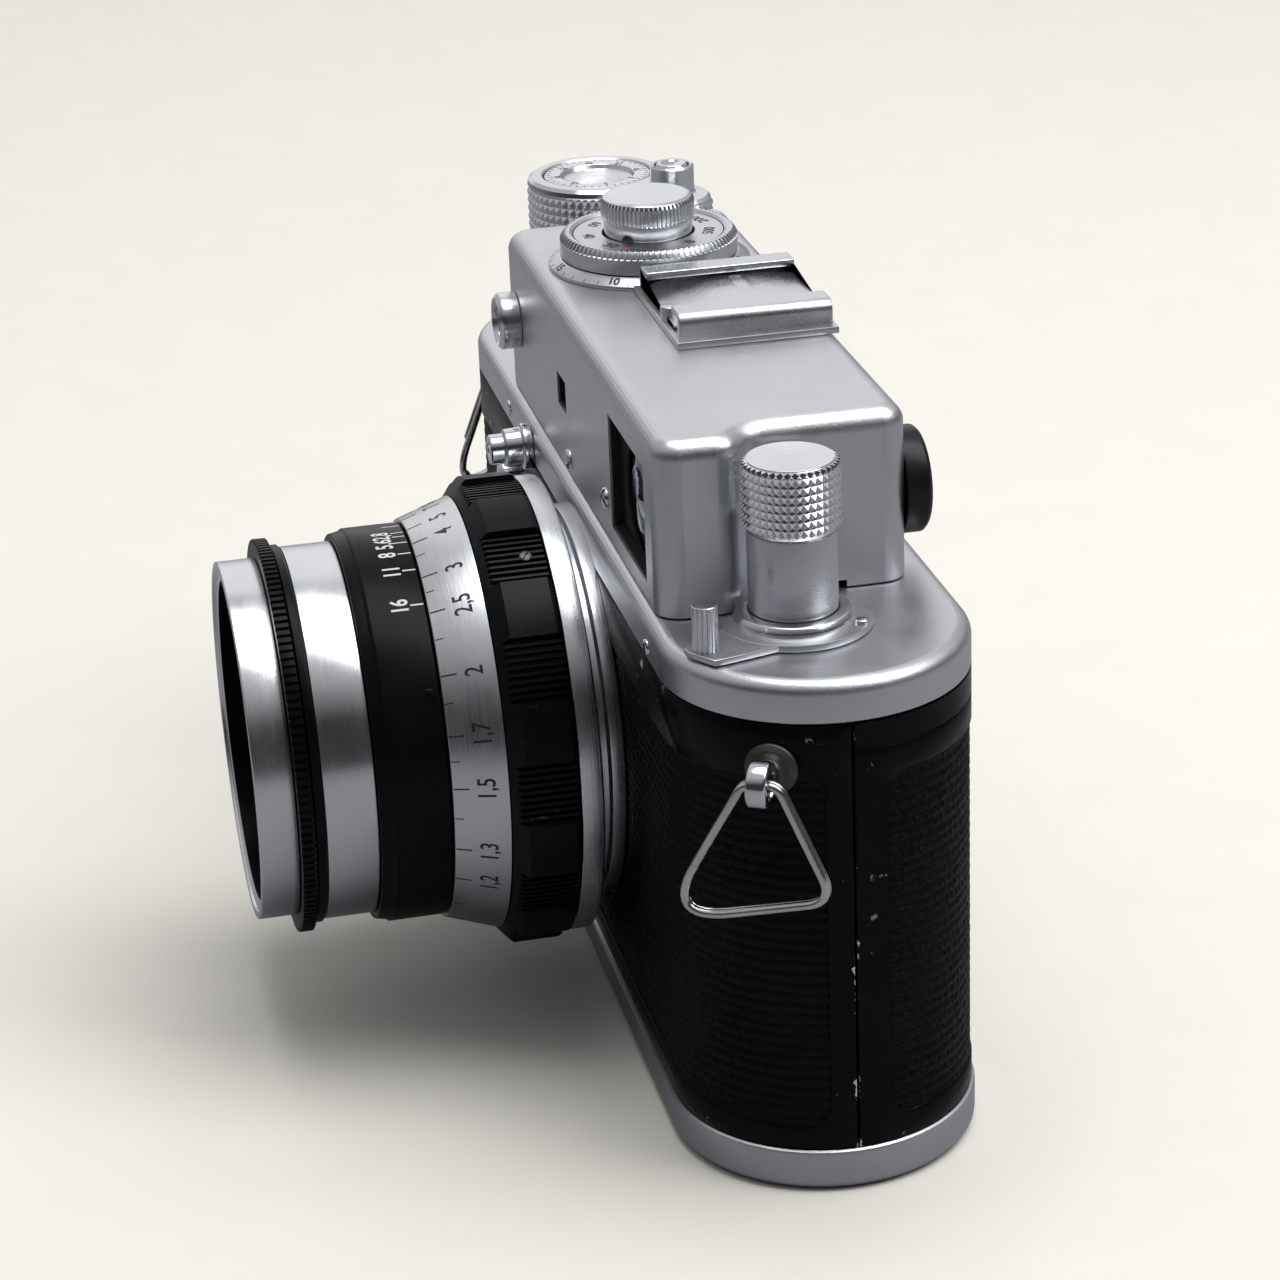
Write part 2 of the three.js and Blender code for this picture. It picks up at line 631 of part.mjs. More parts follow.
function filterCell() {
  return revolve([
    [18.5, RIM.back], [RIM.radius, RIM.back], [RIM.radius, RIM.front], [20.3, RIM.front],
    [20.3, 56.2], [13.2, 49.4], [13.2, 48.5], [14.5, 48.5], [18.5, 52.4],
  ], LENS_SEGMENTS);
}

function apertureRing() {
  return ring(19.95, APERTURE.radius, APERTURE.back, APERTURE.front, LENS_SEGMENTS);
}

// One iris blade: a slice of a ring, turned about a pin near one end.
function irisBlade() {
  const shape = new THREE.Shape();
  shape.absarc(0, 0, BLADE.outer, BLADE.start, BLADE.end, false);
  shape.absarc(0, 0, BLADE.inner, BLADE.end, BLADE.start, true);
  return prism(shape, 0, BLADE.thickness, 4).translate(-BLADE.pivot, 0, 0);
}

// The lever in the throat that follows the lens and turns the rangefinder mirror.
// It lies about its own hinge line, which is the local X axis.
function rangefinderArm() {
  const [half, toe, foot, sole] = [0.8, 2.9, -7.2, -8.4];
  const side = new THREE.Shape();
  side.moveTo(half, 0.9);
  side.lineTo(-half, 0.9);
  side.lineTo(-half, foot);
  side.lineTo(-toe, foot);
  side.lineTo(-toe, sole);
  side.lineTo(half, sole);
  const lever = new THREE.ExtrudeGeometry(side, { depth: 2.4, bevelEnabled: false });
  return lever.rotateX(Math.PI / 2).rotateZ(Math.PI / 2).translate(-1.2, 0, 0);
}

// ---------------------------------------------------------------- front controls and strap lugs

function syncSocket() {
  return revolve([
    [1, 0.05], [2.9, 0.05], [2.9, 1.2], [2.4, 1.3], [2.4, 3.4], [1.9, 3.5], [1.9, 5.3], [1, 5.3],
  ]);
}

// Turned boss with a tapered arm that hangs from it.
function selfTimerLever() {
  const boss = revolve([[0, 0.15], [4.4, 0.15], [4.4, 3.4], [3.6, 4], [0, 4]], 24);
  const arm = new THREE.Shape();
  arm.moveTo(-3, 0);
  arm.lineTo(-2.1, -15);
  arm.absarc(0, -15, 2.1, Math.PI, 2 * Math.PI, false);
  arm.lineTo(3, 0);
  return join(boss, prism(arm, 1.4, 3.2, 6));
}

function selfTimerButton() {
  return revolve([[0, -0.5], [TIMER.button, -0.5], [TIMER.button, 2.1], [TIMER.button - 0.4, 2.5], [0, 2.5]]);
}

// The lug stands on the local Z axis, which is normal to the round end, with its eye across it.
function strapLug() {
  const foot = revolve([[0, 0.05], [2.9, 0.05], [2.9, 0.5], [2.2, 1], [0, 1]], 20);
  const eye = ring(LUG.hole, LUG.radius, -1.1, 1.1, 20).rotateX(Math.PI / 2).translate(0, 0, LUG.reach);
  const neck = block(-1.3, 1.3, -1.1, 1.1, 0.5, LUG.reach - LUG.hole - 0.3);
  return join(foot, eye, neck);
}

// A three-sided ring that hangs from the eye. Local Z runs out from the body, local Y is down.
function ringOutline() {
  const corners = RING.corners.map(([x, y]) => new THREE.Vector2(x, y));
  const shape = new THREE.Shape();
  corners.forEach((corner, i) => {
    const reach = RING.reaches[i];
    const before = corners[(i + 3) % 4].clone().sub(corner).setLength(reach).add(corner);
    const after = corners[(i + 1) % 4].clone().sub(corner).setLength(reach).add(corner);
    if (i === 0) shape.moveTo(before.x, before.y);
    else shape.lineTo(before.x, before.y);
    shape.quadraticCurveTo(corner.x, corner.y, after.x, after.y);
  });
  return shape.getPoints(5).filter((point, i, all) => point.distanceTo(all[(i + 1) % all.length]) > 0.01);
}

// The outline's points, each moved inwards by the bar's width.
function innerOutline(points) {
  return points.map((point, i) => {
    const before = points[(i + points.length - 1) % points.length];
    const after = points[(i + 1) % points.length];
    const along = after.clone().sub(before).normalize();
    return new THREE.Vector2(point.x - along.y * RING.bar, point.y + along.x * RING.bar);
  });
}

function strapRing() {
  const half = RING.thickness / 2;
  const outer = ringOutline();
  const hole = prism(new THREE.Shape(innerOutline(outer)), -half - 1, half + 1);
  return cut(prism(new THREE.Shape(outer), -half, half), hole);
}

// ---------------------------------------------------------------- materials

function finish(color, roughness, metalness, extra = {}) {
  return new THREE.MeshStandardMaterial({ color, roughness, metalness, ...extra });
}

const satinAluminium = () => finish(0xc4c4c4, 0.4, 0.9);
const brightAluminium = () => finish(0xd8d8d8, 0.2, 1);
const chromePlate = () => finish(0xd6d6d8, 0.12, 1);
const blackAnodised = () => finish(0x0c0c0d, 0.35, 0.6);
const blackPaint = () => finish(0x0a0a0b, 0.25, 0.1);
const leatherette = () => finish(0x151515, 0.65, 0);
const castMetal = () => finish(0x2a2a2c, 0.6, 0.4);
const springSteel = () => finish(0x8e9094, 0.3, 1);
const brass = () => finish(0xb08d4f, 0.35, 1);
const clearGlass = () => finish(0xb8c4d0, 0.05, 0, { transparent: true, opacity: 0.35 });
const rubberCloth = () => finish(0x101010, 0.8, 0);
const blackPlastic = () => finish(0x101011, 0.4, 0);

// ---------------------------------------------------------------- assembly

const camera = new THREE.Group();
camera.position.y = -CENTRE_Y;

function part(name, geometry, material, parent = camera) {
  const mesh = new THREE.Mesh(clean(geometry), material);
  mesh.geometry.computeVertexNormals();
  mesh.name = name;
  parent.add(mesh);
  return mesh;
}

// A group whose local +Z looks along the lens, from a place on the front or rear face.
function facing(direction, x, y, z) {
  const group = new THREE.Group();
  group.position.set(x, y, z);
  group.rotation.x = direction === "front" ? Math.PI / 2 : -Math.PI / 2;
  camera.add(group);
  return group;
}

function addBody() {
  part("body_shell", bodyShell(), blackPaint());
  part("front_leatherette", frontLeatherette(), leatherette());
  part("film_chassis", filmChassis(), castMetal());
  part("film_gate", filmGate(), springSteel());
  part("top_cover", topCover(), satinAluminium());
  part("back_cover", backCover(), blackPaint());
  part("rear_leatherette", rearLeatherette(), leatherette());
  part("base_plate", basePlate(), satinAluminium());
  part("tripod_socket", tripodSocket(), springSteel());
  part("pressure_plate", pressurePlate(), springSteel());
}

function addLockKeys() {
  for (const [side, x] of [["left", -KEY_X], ["right", KEY_X]]) {
    part("lock_disc_" + side, at({ x, y: 0 }, lockDisc()), satinAluminium());
    const handle = part("lock_handle_" + side, lockHandle(), chromePlate());
    handle.position.set(x, HANDLE_PIVOT_Y, KEY_LIFT + HANDLE_THICKNESS / 2 + 0.1);
  }
}

function addShutter() {
  part("shutter_curtain", curtain(), rubberCloth());
  part("curtain_drum", roller(DRUM, 1.3), springSteel());
  part("spring_roller", roller(ROLLER, 1.1), springSteel());
  part("take_up_spool", takeUpSpool(), blackPlastic());
  part("film_sprocket", sprocketDrum(), brass());
}

function addTopControls() {
  part("accessory_shoe", accessoryShoe(), brightAluminium());
  part("shoe_spring", shoeSpring(), springSteel());
  part("sync_scale_plate", syncScalePlate(), satinAluminium());
  part("sync_ring", syncRing(), satinAluminium());
  part("speed_spindle", speedSpindle(), satinAluminium());
  part("speed_knob", speedKnob(), brightAluminium());
  part("wind_knob", windKnob(), satinAluminium());
  part("frame_counter", frameCounter(), chromePlate());
  part("release_collar", releaseCollar(), chromePlate());
  part("release_button", releaseButton(), chromePlate());
  part("rewind_spindle", rewindSpindle(), satinAluminium());
  part("rewind_knob", rewindKnob(), brightAluminium());
  part("diopter_lever", diopterLever(), satinAluminium());
}

function addFinder() {
  part("finder_block", finderBlock(), castMetal());
  const front = facing("front", 36, -13.2, 69.8);
  part("finder_front_lens", glassDisc(6.3, 0.8, 0.9), clearGlass(), front);
  const range = facing("front", RANGE_WINDOW.x, HOUSING.front, RANGE_WINDOW.z);
  part("rangefinder_window", rangeWindow(), brightAluminium(), range);
  const rear = facing("rear", EYEPIECE.x, HOUSING.back, EYEPIECE.z);
  part("eyepiece_ring", eyepieceRing(), blackPlastic(), rear);
  part("eyepiece_lens", glassDisc(EYEPIECE.bore - 1, 1, 0.4), clearGlass(), rear);
  const arm = part("rangefinder_arm", rangefinderArm(), brass());
  arm.position.set(LENS.x, ARM_PIVOT.y, ARM_PIVOT.z);
}

function addFrontControls() {
  part("sync_socket", syncSocket(), chromePlate(), facing("front", -18.5, -HALF_DEPTH, 57.6));
  const front = -HALF_DEPTH;
  part("self_timer_lever", selfTimerLever(), brightAluminium(), facing("front", TIMER.x, front, TIMER.lever));
  part("self_timer_button", selfTimerButton(), brightAluminium(), facing("front", TIMER.x, front, TIMER.release));
}

function addLens() {
  const axis = facing("front", LENS.x, 0, LENS.z);
  part("lens_mount_ring", mountRing(), brightAluminium(), axis);
  part("lens_base_ring", lensBaseRing(), brightAluminium(), axis);
  part("focus_grip", focusGrip(), blackAnodised(), axis);
  part("distance_ring", distanceRing(), satinAluminium(), axis);
  part("depth_scale_ring", depthRing(), blackAnodised(), axis);
  part("lens_barrel", lensBarrel(), brightAluminium(), axis);
  part("filter_cell", filterCell(), brightAluminium(), axis);
  part("aperture_ring", apertureRing(), blackAnodised(), axis);
  const front = part("front_element", glassDisc(13.1, 4, 2), clearGlass(), axis);
  front.position.z = 42.5;
  const rear = part("rear_element", glassDisc(13.1, 3, 0.4), clearGlass(), axis);
  rear.position.z = 18;
  for (let i = 0; i < BLADES; i += 1) {
    const pin = new THREE.Group();
    const angle = (i * 2 * Math.PI) / BLADES;
    pin.rotation.z = angle;
    pin.position.set(BLADE.pivot * Math.cos(angle), BLADE.pivot * Math.sin(angle), BLADE.first + i * BLADE.pitch);
    axis.add(pin);
    part("iris_blade_" + (i + 1), irisBlade(), blackAnodised(), pin);
  }
}

// Each lug's group stands on the round end, with local Z out, local X along the end and local Y down.
function addStrapLugs() {
  for (const [side, sign] of [["right", 1], ["left", -1]]) {
    const out = new THREE.Vector3(sign * Math.cos(LUG.angle), -Math.sin(LUG.angle), 0);
    const down = new THREE.Vector3(0, 0, -1);
    const along = new THREE.Vector3().crossVectors(down, out);
    const lug = new THREE.Group();
    lug.position.set(sign * END_X, 0, LUG.height).addScaledVector(out, HALF_DEPTH);
    lug.quaternion.setFromRotationMatrix(new THREE.Matrix4().makeBasis(along, down, out));
    camera.add(lug);
    part("strap_lug_" + side, strapLug().rotateZ(Math.PI / 2), chromePlate(), lug);
    const triangle = strapRing();
    if (sign > 0) triangle.scale(-1, 1, 1);
    const hanging = part("strap_ring_" + side, triangle, chromePlate(), lug);
    hanging.position.z = LUG.reach;
  }
}

addBody();
addLockKeys();
addShutter();
addTopControls();
addFinder();
addFrontControls();
addLens();
addStrapLugs();

export default camera;
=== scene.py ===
# The looks of a 35 mm rangefinder camera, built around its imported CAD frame.
# Shapes are made in millimetres in local axes, and stored in metres.
import json
import math

import bmesh
import bpy
from mathutils import Matrix, Vector


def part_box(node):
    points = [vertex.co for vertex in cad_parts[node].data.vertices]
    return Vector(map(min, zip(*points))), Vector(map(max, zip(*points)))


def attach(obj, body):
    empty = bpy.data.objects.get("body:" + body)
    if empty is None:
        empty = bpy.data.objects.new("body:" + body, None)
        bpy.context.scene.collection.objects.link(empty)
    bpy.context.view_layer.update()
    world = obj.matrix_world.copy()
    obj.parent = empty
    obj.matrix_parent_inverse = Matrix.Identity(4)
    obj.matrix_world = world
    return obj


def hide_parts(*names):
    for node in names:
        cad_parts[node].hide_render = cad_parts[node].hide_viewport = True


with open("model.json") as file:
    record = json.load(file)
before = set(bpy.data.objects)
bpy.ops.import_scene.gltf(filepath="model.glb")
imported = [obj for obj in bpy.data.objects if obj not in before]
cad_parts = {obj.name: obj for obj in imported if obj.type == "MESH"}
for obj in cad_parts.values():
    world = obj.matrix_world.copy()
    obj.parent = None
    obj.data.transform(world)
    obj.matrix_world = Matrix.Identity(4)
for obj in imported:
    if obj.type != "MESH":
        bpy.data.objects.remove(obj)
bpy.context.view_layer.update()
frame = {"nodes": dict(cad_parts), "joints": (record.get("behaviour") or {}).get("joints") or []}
MM = 0.001
TURN = 2 * math.pi
BROAD = 15  # square millimetres above which a face stays flat
LEVEL = 0.9998  # cosine below which a face no longer counts as facing along local Z


# ---------------- places read from the frame

def span(node):
    """Lowest and highest corner of a CAD node, in millimetres."""
    low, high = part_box(node)
    return low / MM, high / MM


def centre(node):
    low, high = span(node)
    return (low + high) / 2


def axis_of(node):
    """Where a node's upright axis stands, in millimetres."""
    middle = centre(node)
    return middle.x, middle.y


def across(node):
    """Half of a turned node's width along X."""
    low, high = span(node)
    return (high.x - low.x) / 2


FRONT_LOW, FRONT_HIGH = span("body_shell")
BACK_LOW, BACK_HIGH = span("back_cover")
BASE_LOW, BASE_HIGH = span("base_plate")
COVER_LOW, COVER_HIGH = span("top_cover")
HALF_LENGTH = BACK_HIGH.x
HALF_DEPTH = (BACK_HIGH.y - FRONT_LOW.y) / 2
MIDDLE_Y = (BACK_HIGH.y + FRONT_LOW.y) / 2
END_X = HALF_LENGTH - HALF_DEPTH
FRONT_EDGE = MIDDLE_Y - FRONT_HIGH.y
BACK_EDGE = BACK_LOW.y - MIDDLE_Y
LENS_AT = centre("lens_barrel")

SKIN_INSET = 0.45
SHELL_WALL = 1.4
PANEL_CORNER = 2.6
PANEL_LOW, PANEL_HIGH = 8.3, 49.5
SHOULDER_TOP = span("diopter_lever")[0].z - 0.1
# The housing's sides in X, and in Y from the body's middle plane.
HOUSING = {"left": -36.5, "right": 46.5, "nose": 50.0, "front": -15.8, "back": 13.3, "corner": 3.0}
NOSE_END_Y = -9.0
NOSE_BEND_Y = -2.8
COVER_WALL = 1.3
HOUSING_FRONT_Y = MIDDLE_Y + HOUSING["front"]
HOUSING_BACK_Y = MIDDLE_Y + HOUSING["back"]


def ahead(node):
    """How far a node's back and front lie in front of the body's middle plane."""
    low, high = span(node)
    return MIDDLE_Y - high.y, MIDDLE_Y - low.y


# ---------------- places in local axes

def upright(x, y, z=0.0):
    """Local Z is up, at a place in the frame."""
    return Matrix.Translation(Vector((x, y, z)) * MM)


def above(node):
    """Local axes that stand on a node's upright axis."""
    return upright(*axis_of(node))


def facing_front(x, z, y=None):
    """Local Z looks along the lens and local Y is up. Without y, heights count from the middle plane."""
    place = Vector((x, MIDDLE_Y if y is None else y, z)) * MM
    return Matrix.Translation(place) @ Matrix.Rotation(math.pi / 2, 4, "X")


def facing_rear(x, z, y):
    """Local Z looks backwards and local Y is up."""
    half_turn = Matrix.Rotation(math.pi, 4, "Z") @ Matrix.Rotation(math.pi / 2, 4, "X")
    return Matrix.Translation(Vector((x, y, z)) * MM) @ half_turn


def around_lens(degrees, radius, height):
    """A place beside the lens's axis, with local X pointing outwards."""
    return LENS @ Matrix.Rotation(math.radians(degrees), 4, "Z") @ upright(radius, 0, height)


LENS = facing_front(LENS_AT.x, LENS_AT.z)


# ---------------- mesh helpers

def show(thing):
    """Puts an object in the scene."""
    bpy.context.scene.collection.objects.link(thing)
    return thing


def make(name, verts, faces, material, body=None, place=Matrix.Identity(4), sharp=35, replaces=(),
         slot=None):
    """A mesh piece from points in millimetres. Edges sharper than the given degrees stay crisp."""
    data = bpy.data.meshes.new(name)
    data.from_pydata([Vector(v) * MM for v in verts], [], faces)
    grid = bmesh.new()
    grid.from_mesh(data)
    bmesh.ops.remove_doubles(grid, verts=grid.verts, dist=1e-7)
    bmesh.ops.dissolve_degenerate(grid, edges=grid.edges, dist=1e-8)
    bmesh.ops.recalc_face_normals(grid, faces=grid.faces)
    grid.to_mesh(data)
    grid.free()
    piece = show(bpy.data.objects.new(name, data))
    piece.matrix_world = place
    shade(piece, sharp)
    dress(piece, material, body, replaces, slot)
    return piece


def shade(piece, sharp):
    """Smooth, with crisp edges. Broad faces, and faces that look along local Z, stay flat."""
    piece.data.shade_smooth()
    piece.data.set_sharp_from_angle(angle=math.radians(sharp))
    for face in piece.data.polygons:
        if face.area > BROAD * MM * MM or abs(face.normal.z) > LEVEL:
            face.use_smooth = False


def dress(piece, material, body, replaces, slot):
    if material is not None:
        piece.data.materials.clear()
        piece.data.materials.append(material)
    if body:
        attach(piece, body)
    if replaces:
        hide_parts(*replaces)


def rounded_corner(start, corner, end, steps):
    """Points on a curve from start to end that leans towards the corner between them."""
    shares = [k / steps for k in range(steps + 1)]
    return [start * (1 - t) ** 2 + corner * 2 * t * (1 - t) + end * t ** 2 for t in shares]


def soften(profile, reach=0.15, steps=3):
    """Rounds the corners of a closed profile. Corners on the axis stay as they are."""
    rounded = []
    count = len(profile)
    for i, (r, h) in enumerate(profile):
        corner = Vector((r, h))
        before = Vector(profile[i - 1]) - corner
        after = Vector(profile[(i + 1) % count]) - corner
        if r < 1e-6 or before.length < 1e-6 or after.length < 1e-6:
            rounded.append((r, h))
            continue
        start = corner + before.normalized() * min(reach, before.length * 0.4)
        end = corner + after.normalized() * min(reach, after.length * 0.4)
        rounded += [tuple(point) for point in rounded_corner(start, corner, end, steps)]
    return rounded


def turned(profile, steps=160, wave=None):
    """Points and faces of a closed (radius, height) profile turned about local Z."""
    levels = []
    for j in range(steps):
        angle = TURN * j / steps
        reaches = [(wave(angle, r, h) if wave else r, h) for r, h in profile]
        levels.append([(reach * math.cos(angle), reach * math.sin(angle), h) for reach, h in reaches])
    return loft(levels, caps=False)


def lathe(name, profile, material, body, place, steps=160, wave=None, reach=0.15, **words):
    verts, faces = turned(soften(profile, reach) if reach else profile, steps, wave)
    return make(name, verts, faces, material, body, place, **words)


TEETH_PHASE = 0.08


def teeth(count, depth, low, high, least, gap=0.5):
    """A wave that cuts grooves along a turned piece, on its outside between two heights.
    gap is the grooves' share of the way round."""
    def wave(angle, r, h):
        if r < least or h < low or h > high:
            return r
        phase = (angle * count / TURN + TEETH_PHASE) % 1
        return r - depth if phase > 1 - gap else r
    return wave


def loft(levels, caps=True):
    """Skins loops that have the same number of points. Without caps, the last loop joins the first."""
    count, rows = len(levels[0]), len(levels)
    verts = [point for level in levels for point in level]
    faces = []
    for k in range(rows - 1 if caps else rows):
        here, after = k * count, (k + 1) % rows * count
        for i in range(count):
            beside = (i + 1) % count
            faces.append((here + i, here + beside, after + beside, after + i))
    if caps:
        faces.append(tuple(range(count)))
        faces.append(tuple((rows - 1) * count + i for i in range(count)))
    return verts, faces


def extrude(outline, low, high):
    return loft([[(x, y, low) for x, y in outline], [(x, y, high) for x, y in outline]])


def inwards(outline, inset, shares=None):
    """A counter-clockwise outline moved inwards by inset, times each point's share where shares are given.
    Edges that would turn back shrink to a point."""
    count = len(outline)
    moved = []
    for i in range(count):
        before, here, after = (Vector(outline[k % count]) for k in (i - 1, i, i + 1))
        along = ((here - before).normalized() + (after - here).normalized()).normalized()
        step = inset * shares[i] if shares else inset
        moved.append(Vector((here.x - along.y * step, here.y + along.x * step)))
    return unfolded(outline, moved)


def unfolded(outline, moved):
    """The moved points, with runs of points that have turned back drawn together to their middle."""
    runs = [[i] for i in range(len(outline))]
    k = 0
    while k < len(runs):
        run, following = runs[k], runs[(k + 1) % len(runs)]
        forward = Vector(outline[following[0]]) - Vector(outline[run[-1]])
        if forward.dot(middle_of(moved, following) - middle_of(moved, run)) < 0:
            run += following
            runs.remove(following)
            k = max(0, k - 2)
        else:
            k += 1
    for run in runs:
        middle = middle_of(moved, run)
        for i in run:
            moved[i] = middle
    return [tuple(point) for point in moved]


def middle_of(points, chosen):
    return sum((points[i] for i in chosen), Vector((0, 0))) / len(chosen)


def arc(x, y, radius, start, end, steps):
    """Points on an arc, with its angles in degrees."""
    angles = [math.radians(start + (end - start) * k / steps) for k in range(steps + 1)]
    return [(x + radius * math.cos(a), y + radius * math.sin(a)) for a in angles]


def circle(radius, steps):
    return arc(0, 0, radius, 0, 360, steps)[:-1]


def join_meshes(*parts):
    """One list of points and faces from several."""
    verts, faces = [], []
    for part_verts, part_faces in parts:
        start = len(verts)
        verts += list(part_verts)
        faces += [tuple(start + i for i in face) for face in part_faces]
    return verts, faces


def bevel(piece, width, segments=2, limit=40):
    rounding = piece.modifiers.new("rounding", "BEVEL")
    rounding.width = width * MM
    rounding.segments = segments
    rounding.limit_method = "ANGLE"
    rounding.angle_limit = math.radians(limit)
    rounding.harden_normals = False
    settle(piece)
    shade(piece, 35)


def settle(piece):
    """Applies a piece's modifiers to its mesh."""
    bpy.context.view_layer.update()
    seen = piece.evaluated_get(bpy.context.evaluated_depsgraph_get())
    data = bpy.data.meshes.new_from_object(seen)
    piece.modifiers.clear()
    piece.data = data


def carve(piece, *cutters, sharp=35):
    """Cuts each (points, faces, place) solid out of a piece."""
    for verts, faces, place in cutters:
        tool = make("cutter", verts, faces, None, place=place)
        cut = piece.modifiers.new("cut", "BOOLEAN")
        cut.object = tool
        cut.operation = "DIFFERENCE"
        cut.solver = "MANIFOLD"
        settle(piece)
        bpy.data.objects.remove(tool)
    shade(piece, sharp)


def drill(x, y, radius, low, high, steps=96):
    """A vertical cutter for carve."""
    return (*extrude(circle(radius, steps), low, high), upright(x, y))


def drill_front(x, z, radius, near, far, steps=96):
    """A cutter along Y, between two distances in front of the middle plane."""
    return (*extrude(circle(radius, steps), near, far), facing_front(x, z))


def box_cutter(x0, x1, y0, y1, z0, z1):
    outline = [(x0, y0), (x1, y0), (x1, y1), (x0, y1)]
    return (*extrude(outline, z0, z1), Matrix.Identity(4))


# ---------------- materials

def fill(tree, made, inputs):
    """Sets a shader node's inputs, each to a fixed value or to another node's output."""
    for name, value in inputs.items():
        if isinstance(value, bpy.types.NodeSocket):
            tree.links.new(value, made.inputs[name])
        else:
            made.inputs[name].default_value = value


def node(tree, kind, inputs=None, **settings):
    made = tree.nodes.new(kind)
    for name, value in settings.items():
        setattr(made, name, value)
    fill(tree, made, inputs or {})
    return made


def worked_out(tree, operation, first, second=0.5):
    return node(tree, "ShaderNodeMath", {0: first, 1: second}, operation=operation).outputs[0]


def coordinates(tree, scale):
    """Object coordinates, scaled by so many waves a metre along each axis."""
    where = node(tree, "ShaderNodeTexCoord").outputs["Object"]
    return node(tree, "ShaderNodeMapping", {"Vector": where, "Scale": scale}).outputs["Vector"]


def object_axes(tree):
    """The object coordinates' X, Y and Z, each an output."""
    where = node(tree, "ShaderNodeTexCoord").outputs["Object"]
    return tuple(node(tree, "ShaderNodeSeparateXYZ", {0: where}).outputs)


def turning_coordinates(tree, along, around):
    """Coordinates for a turned piece: radius and height vary quickly, the way round slowly."""
    x, y, z = object_axes(tree)
    angle = worked_out(tree, "ARCTAN2", y, x)
    flat = node(tree, "ShaderNodeCombineXYZ", {0: x, 1: y}).outputs[0]
    radius = node(tree, "ShaderNodeVectorMath", {0: flat}, operation="LENGTH").outputs["Value"]
    scaled = [worked_out(tree, "MULTIPLY", value, scale) for value, scale in
              ((radius, along), (z, along), (angle, around))]
    return node(tree, "ShaderNodeCombineXYZ", dict(enumerate(scaled))).outputs[0]


def noise_of(tree, vector, detail, roughness=0.55):
    inputs = {"Vector": vector, "Scale": 1.0, "Detail": detail, "Roughness": roughness}
    return node(tree, "ShaderNodeTexNoise", inputs).outputs["Fac"]


def ranged(tree, value, from_low, from_high, to_low, to_high):
    inputs = {"Value": value, "From Min": from_low, "From Max": from_high, "To Min": to_low,
              "To Max": to_high}
    return node(tree, "ShaderNodeMapRange", inputs).outputs["Result"]


def mixed(tree, factor, first, second):
    """A colour between two, each an output or a fixed colour."""
    ends = [(*end, 1) if isinstance(end, tuple) else end for end in (first, second)]
    return node(tree, "ShaderNodeMix", {0: factor, 6: ends[0], 7: ends[1]}, data_type="RGBA").outputs[2]


def chipped_line(tree, y):
    """1 in the chips beside a line at y millimetres, and 0 elsewhere."""
    distance = worked_out(tree, "ABSOLUTE", worked_out(tree, "SUBTRACT", object_axes(tree)[1], y * MM))
    patches = noise_of(tree, coordinates(tree, (330, 330, 230)), 6, 0.7)
    near = ranged(tree, distance, 0.0002, 0.0011, 0.09, -0.14)
    return ranged(tree, worked_out(tree, "ADD", patches, near), 0.655, 0.675, 0, 1)


def chipped_edges(tree):
    """1 in the chips along the sharpest edges, and 0 elsewhere."""
    sharpness = node(tree, "ShaderNodeNewGeometry").outputs["Pointiness"]
    chips = noise_of(tree, coordinates(tree, (420, 420, 420)), 5, 0.65)
    edge = ranged(tree, sharpness, 0.54, 0.62, 0, 1)
    return worked_out(tree, "MULTIPLY", edge, ranged(tree, chips, 0.66, 0.69, 0, 1))


def bumped(tree, fine, strength, distance, beads):
    """A fine relief, over rounded beads where there are any."""
    bump = node(tree, "ShaderNodeBump", {"Strength": strength, "Distance": distance, "Height": fine})
    if beads:
        where = coordinates(tree, (1, 1, 1))
        cells = node(tree, "ShaderNodeTexVoronoi", {"Vector": where, "Scale": beads}, feature="SMOOTH_F1")
        heights = {"Strength": 0.9, "Distance": 0.00025, "Height": cells.outputs["Distance"]}
        rounded = node(tree, "ShaderNodeBump", heights, invert=True)
        fill(tree, bump, {"Normal": rounded.outputs["Normal"]})
    return bump.outputs["Normal"]


def surface(name, color, metallic, rough, spread=0.08, tint=0.06, grain=2500, relief=0.0,
            turned_grain=False, wear=None, worn_y=None, specular=0.5, coat=0.0, coat_rough=0.12,
            bump_distance=0.00005, beads=0):
    """A procedural finish: mottled colour and gloss, a fine relief, and bare edges where wear is a colour.
    Beads are so many grains a metre, added to the relief.
    worn_y is a place along Y where the paint is chipped."""
    material = bpy.data.materials.new(name)
    material.use_nodes = True
    tree = material.node_tree
    blotches = noise_of(tree, coordinates(tree, (90, 90, 90)), 4)
    darker = tuple(c * (1 - tint * 2) for c in color)
    lighter = tuple(min(1, c * (1 + tint)) for c in color)
    tinted = mixed(tree, ranged(tree, blotches, 0.3, 0.7, 0, 1), darker, lighter)
    where = turning_coordinates(tree, grain, 3) if turned_grain else coordinates(tree, (grain,) * 3)
    fine = noise_of(tree, where, 2)
    gloss = worked_out(tree, "ADD", ranged(tree, blotches, 0.3, 0.7, rough - spread, rough + spread),
                       ranged(tree, fine, 0.3, 0.7, -spread / 2, spread / 2))
    if wear:
        tinted = mixed(tree, chipped_edges(tree), tinted, wear)
    if worn_y is not None:
        tinted = mixed(tree, chipped_line(tree, worn_y), tinted, wear)
    inputs = {"Metallic": metallic, "Specular IOR Level": specular, "Coat Weight": coat,
              "Coat Roughness": coat_rough, "Base Color": tinted, "Roughness": gloss}
    if relief:
        inputs["Normal"] = bumped(tree, fine, relief, bump_distance, beads)
    fill(tree, tree.nodes["Principled BSDF"], inputs)
    return material


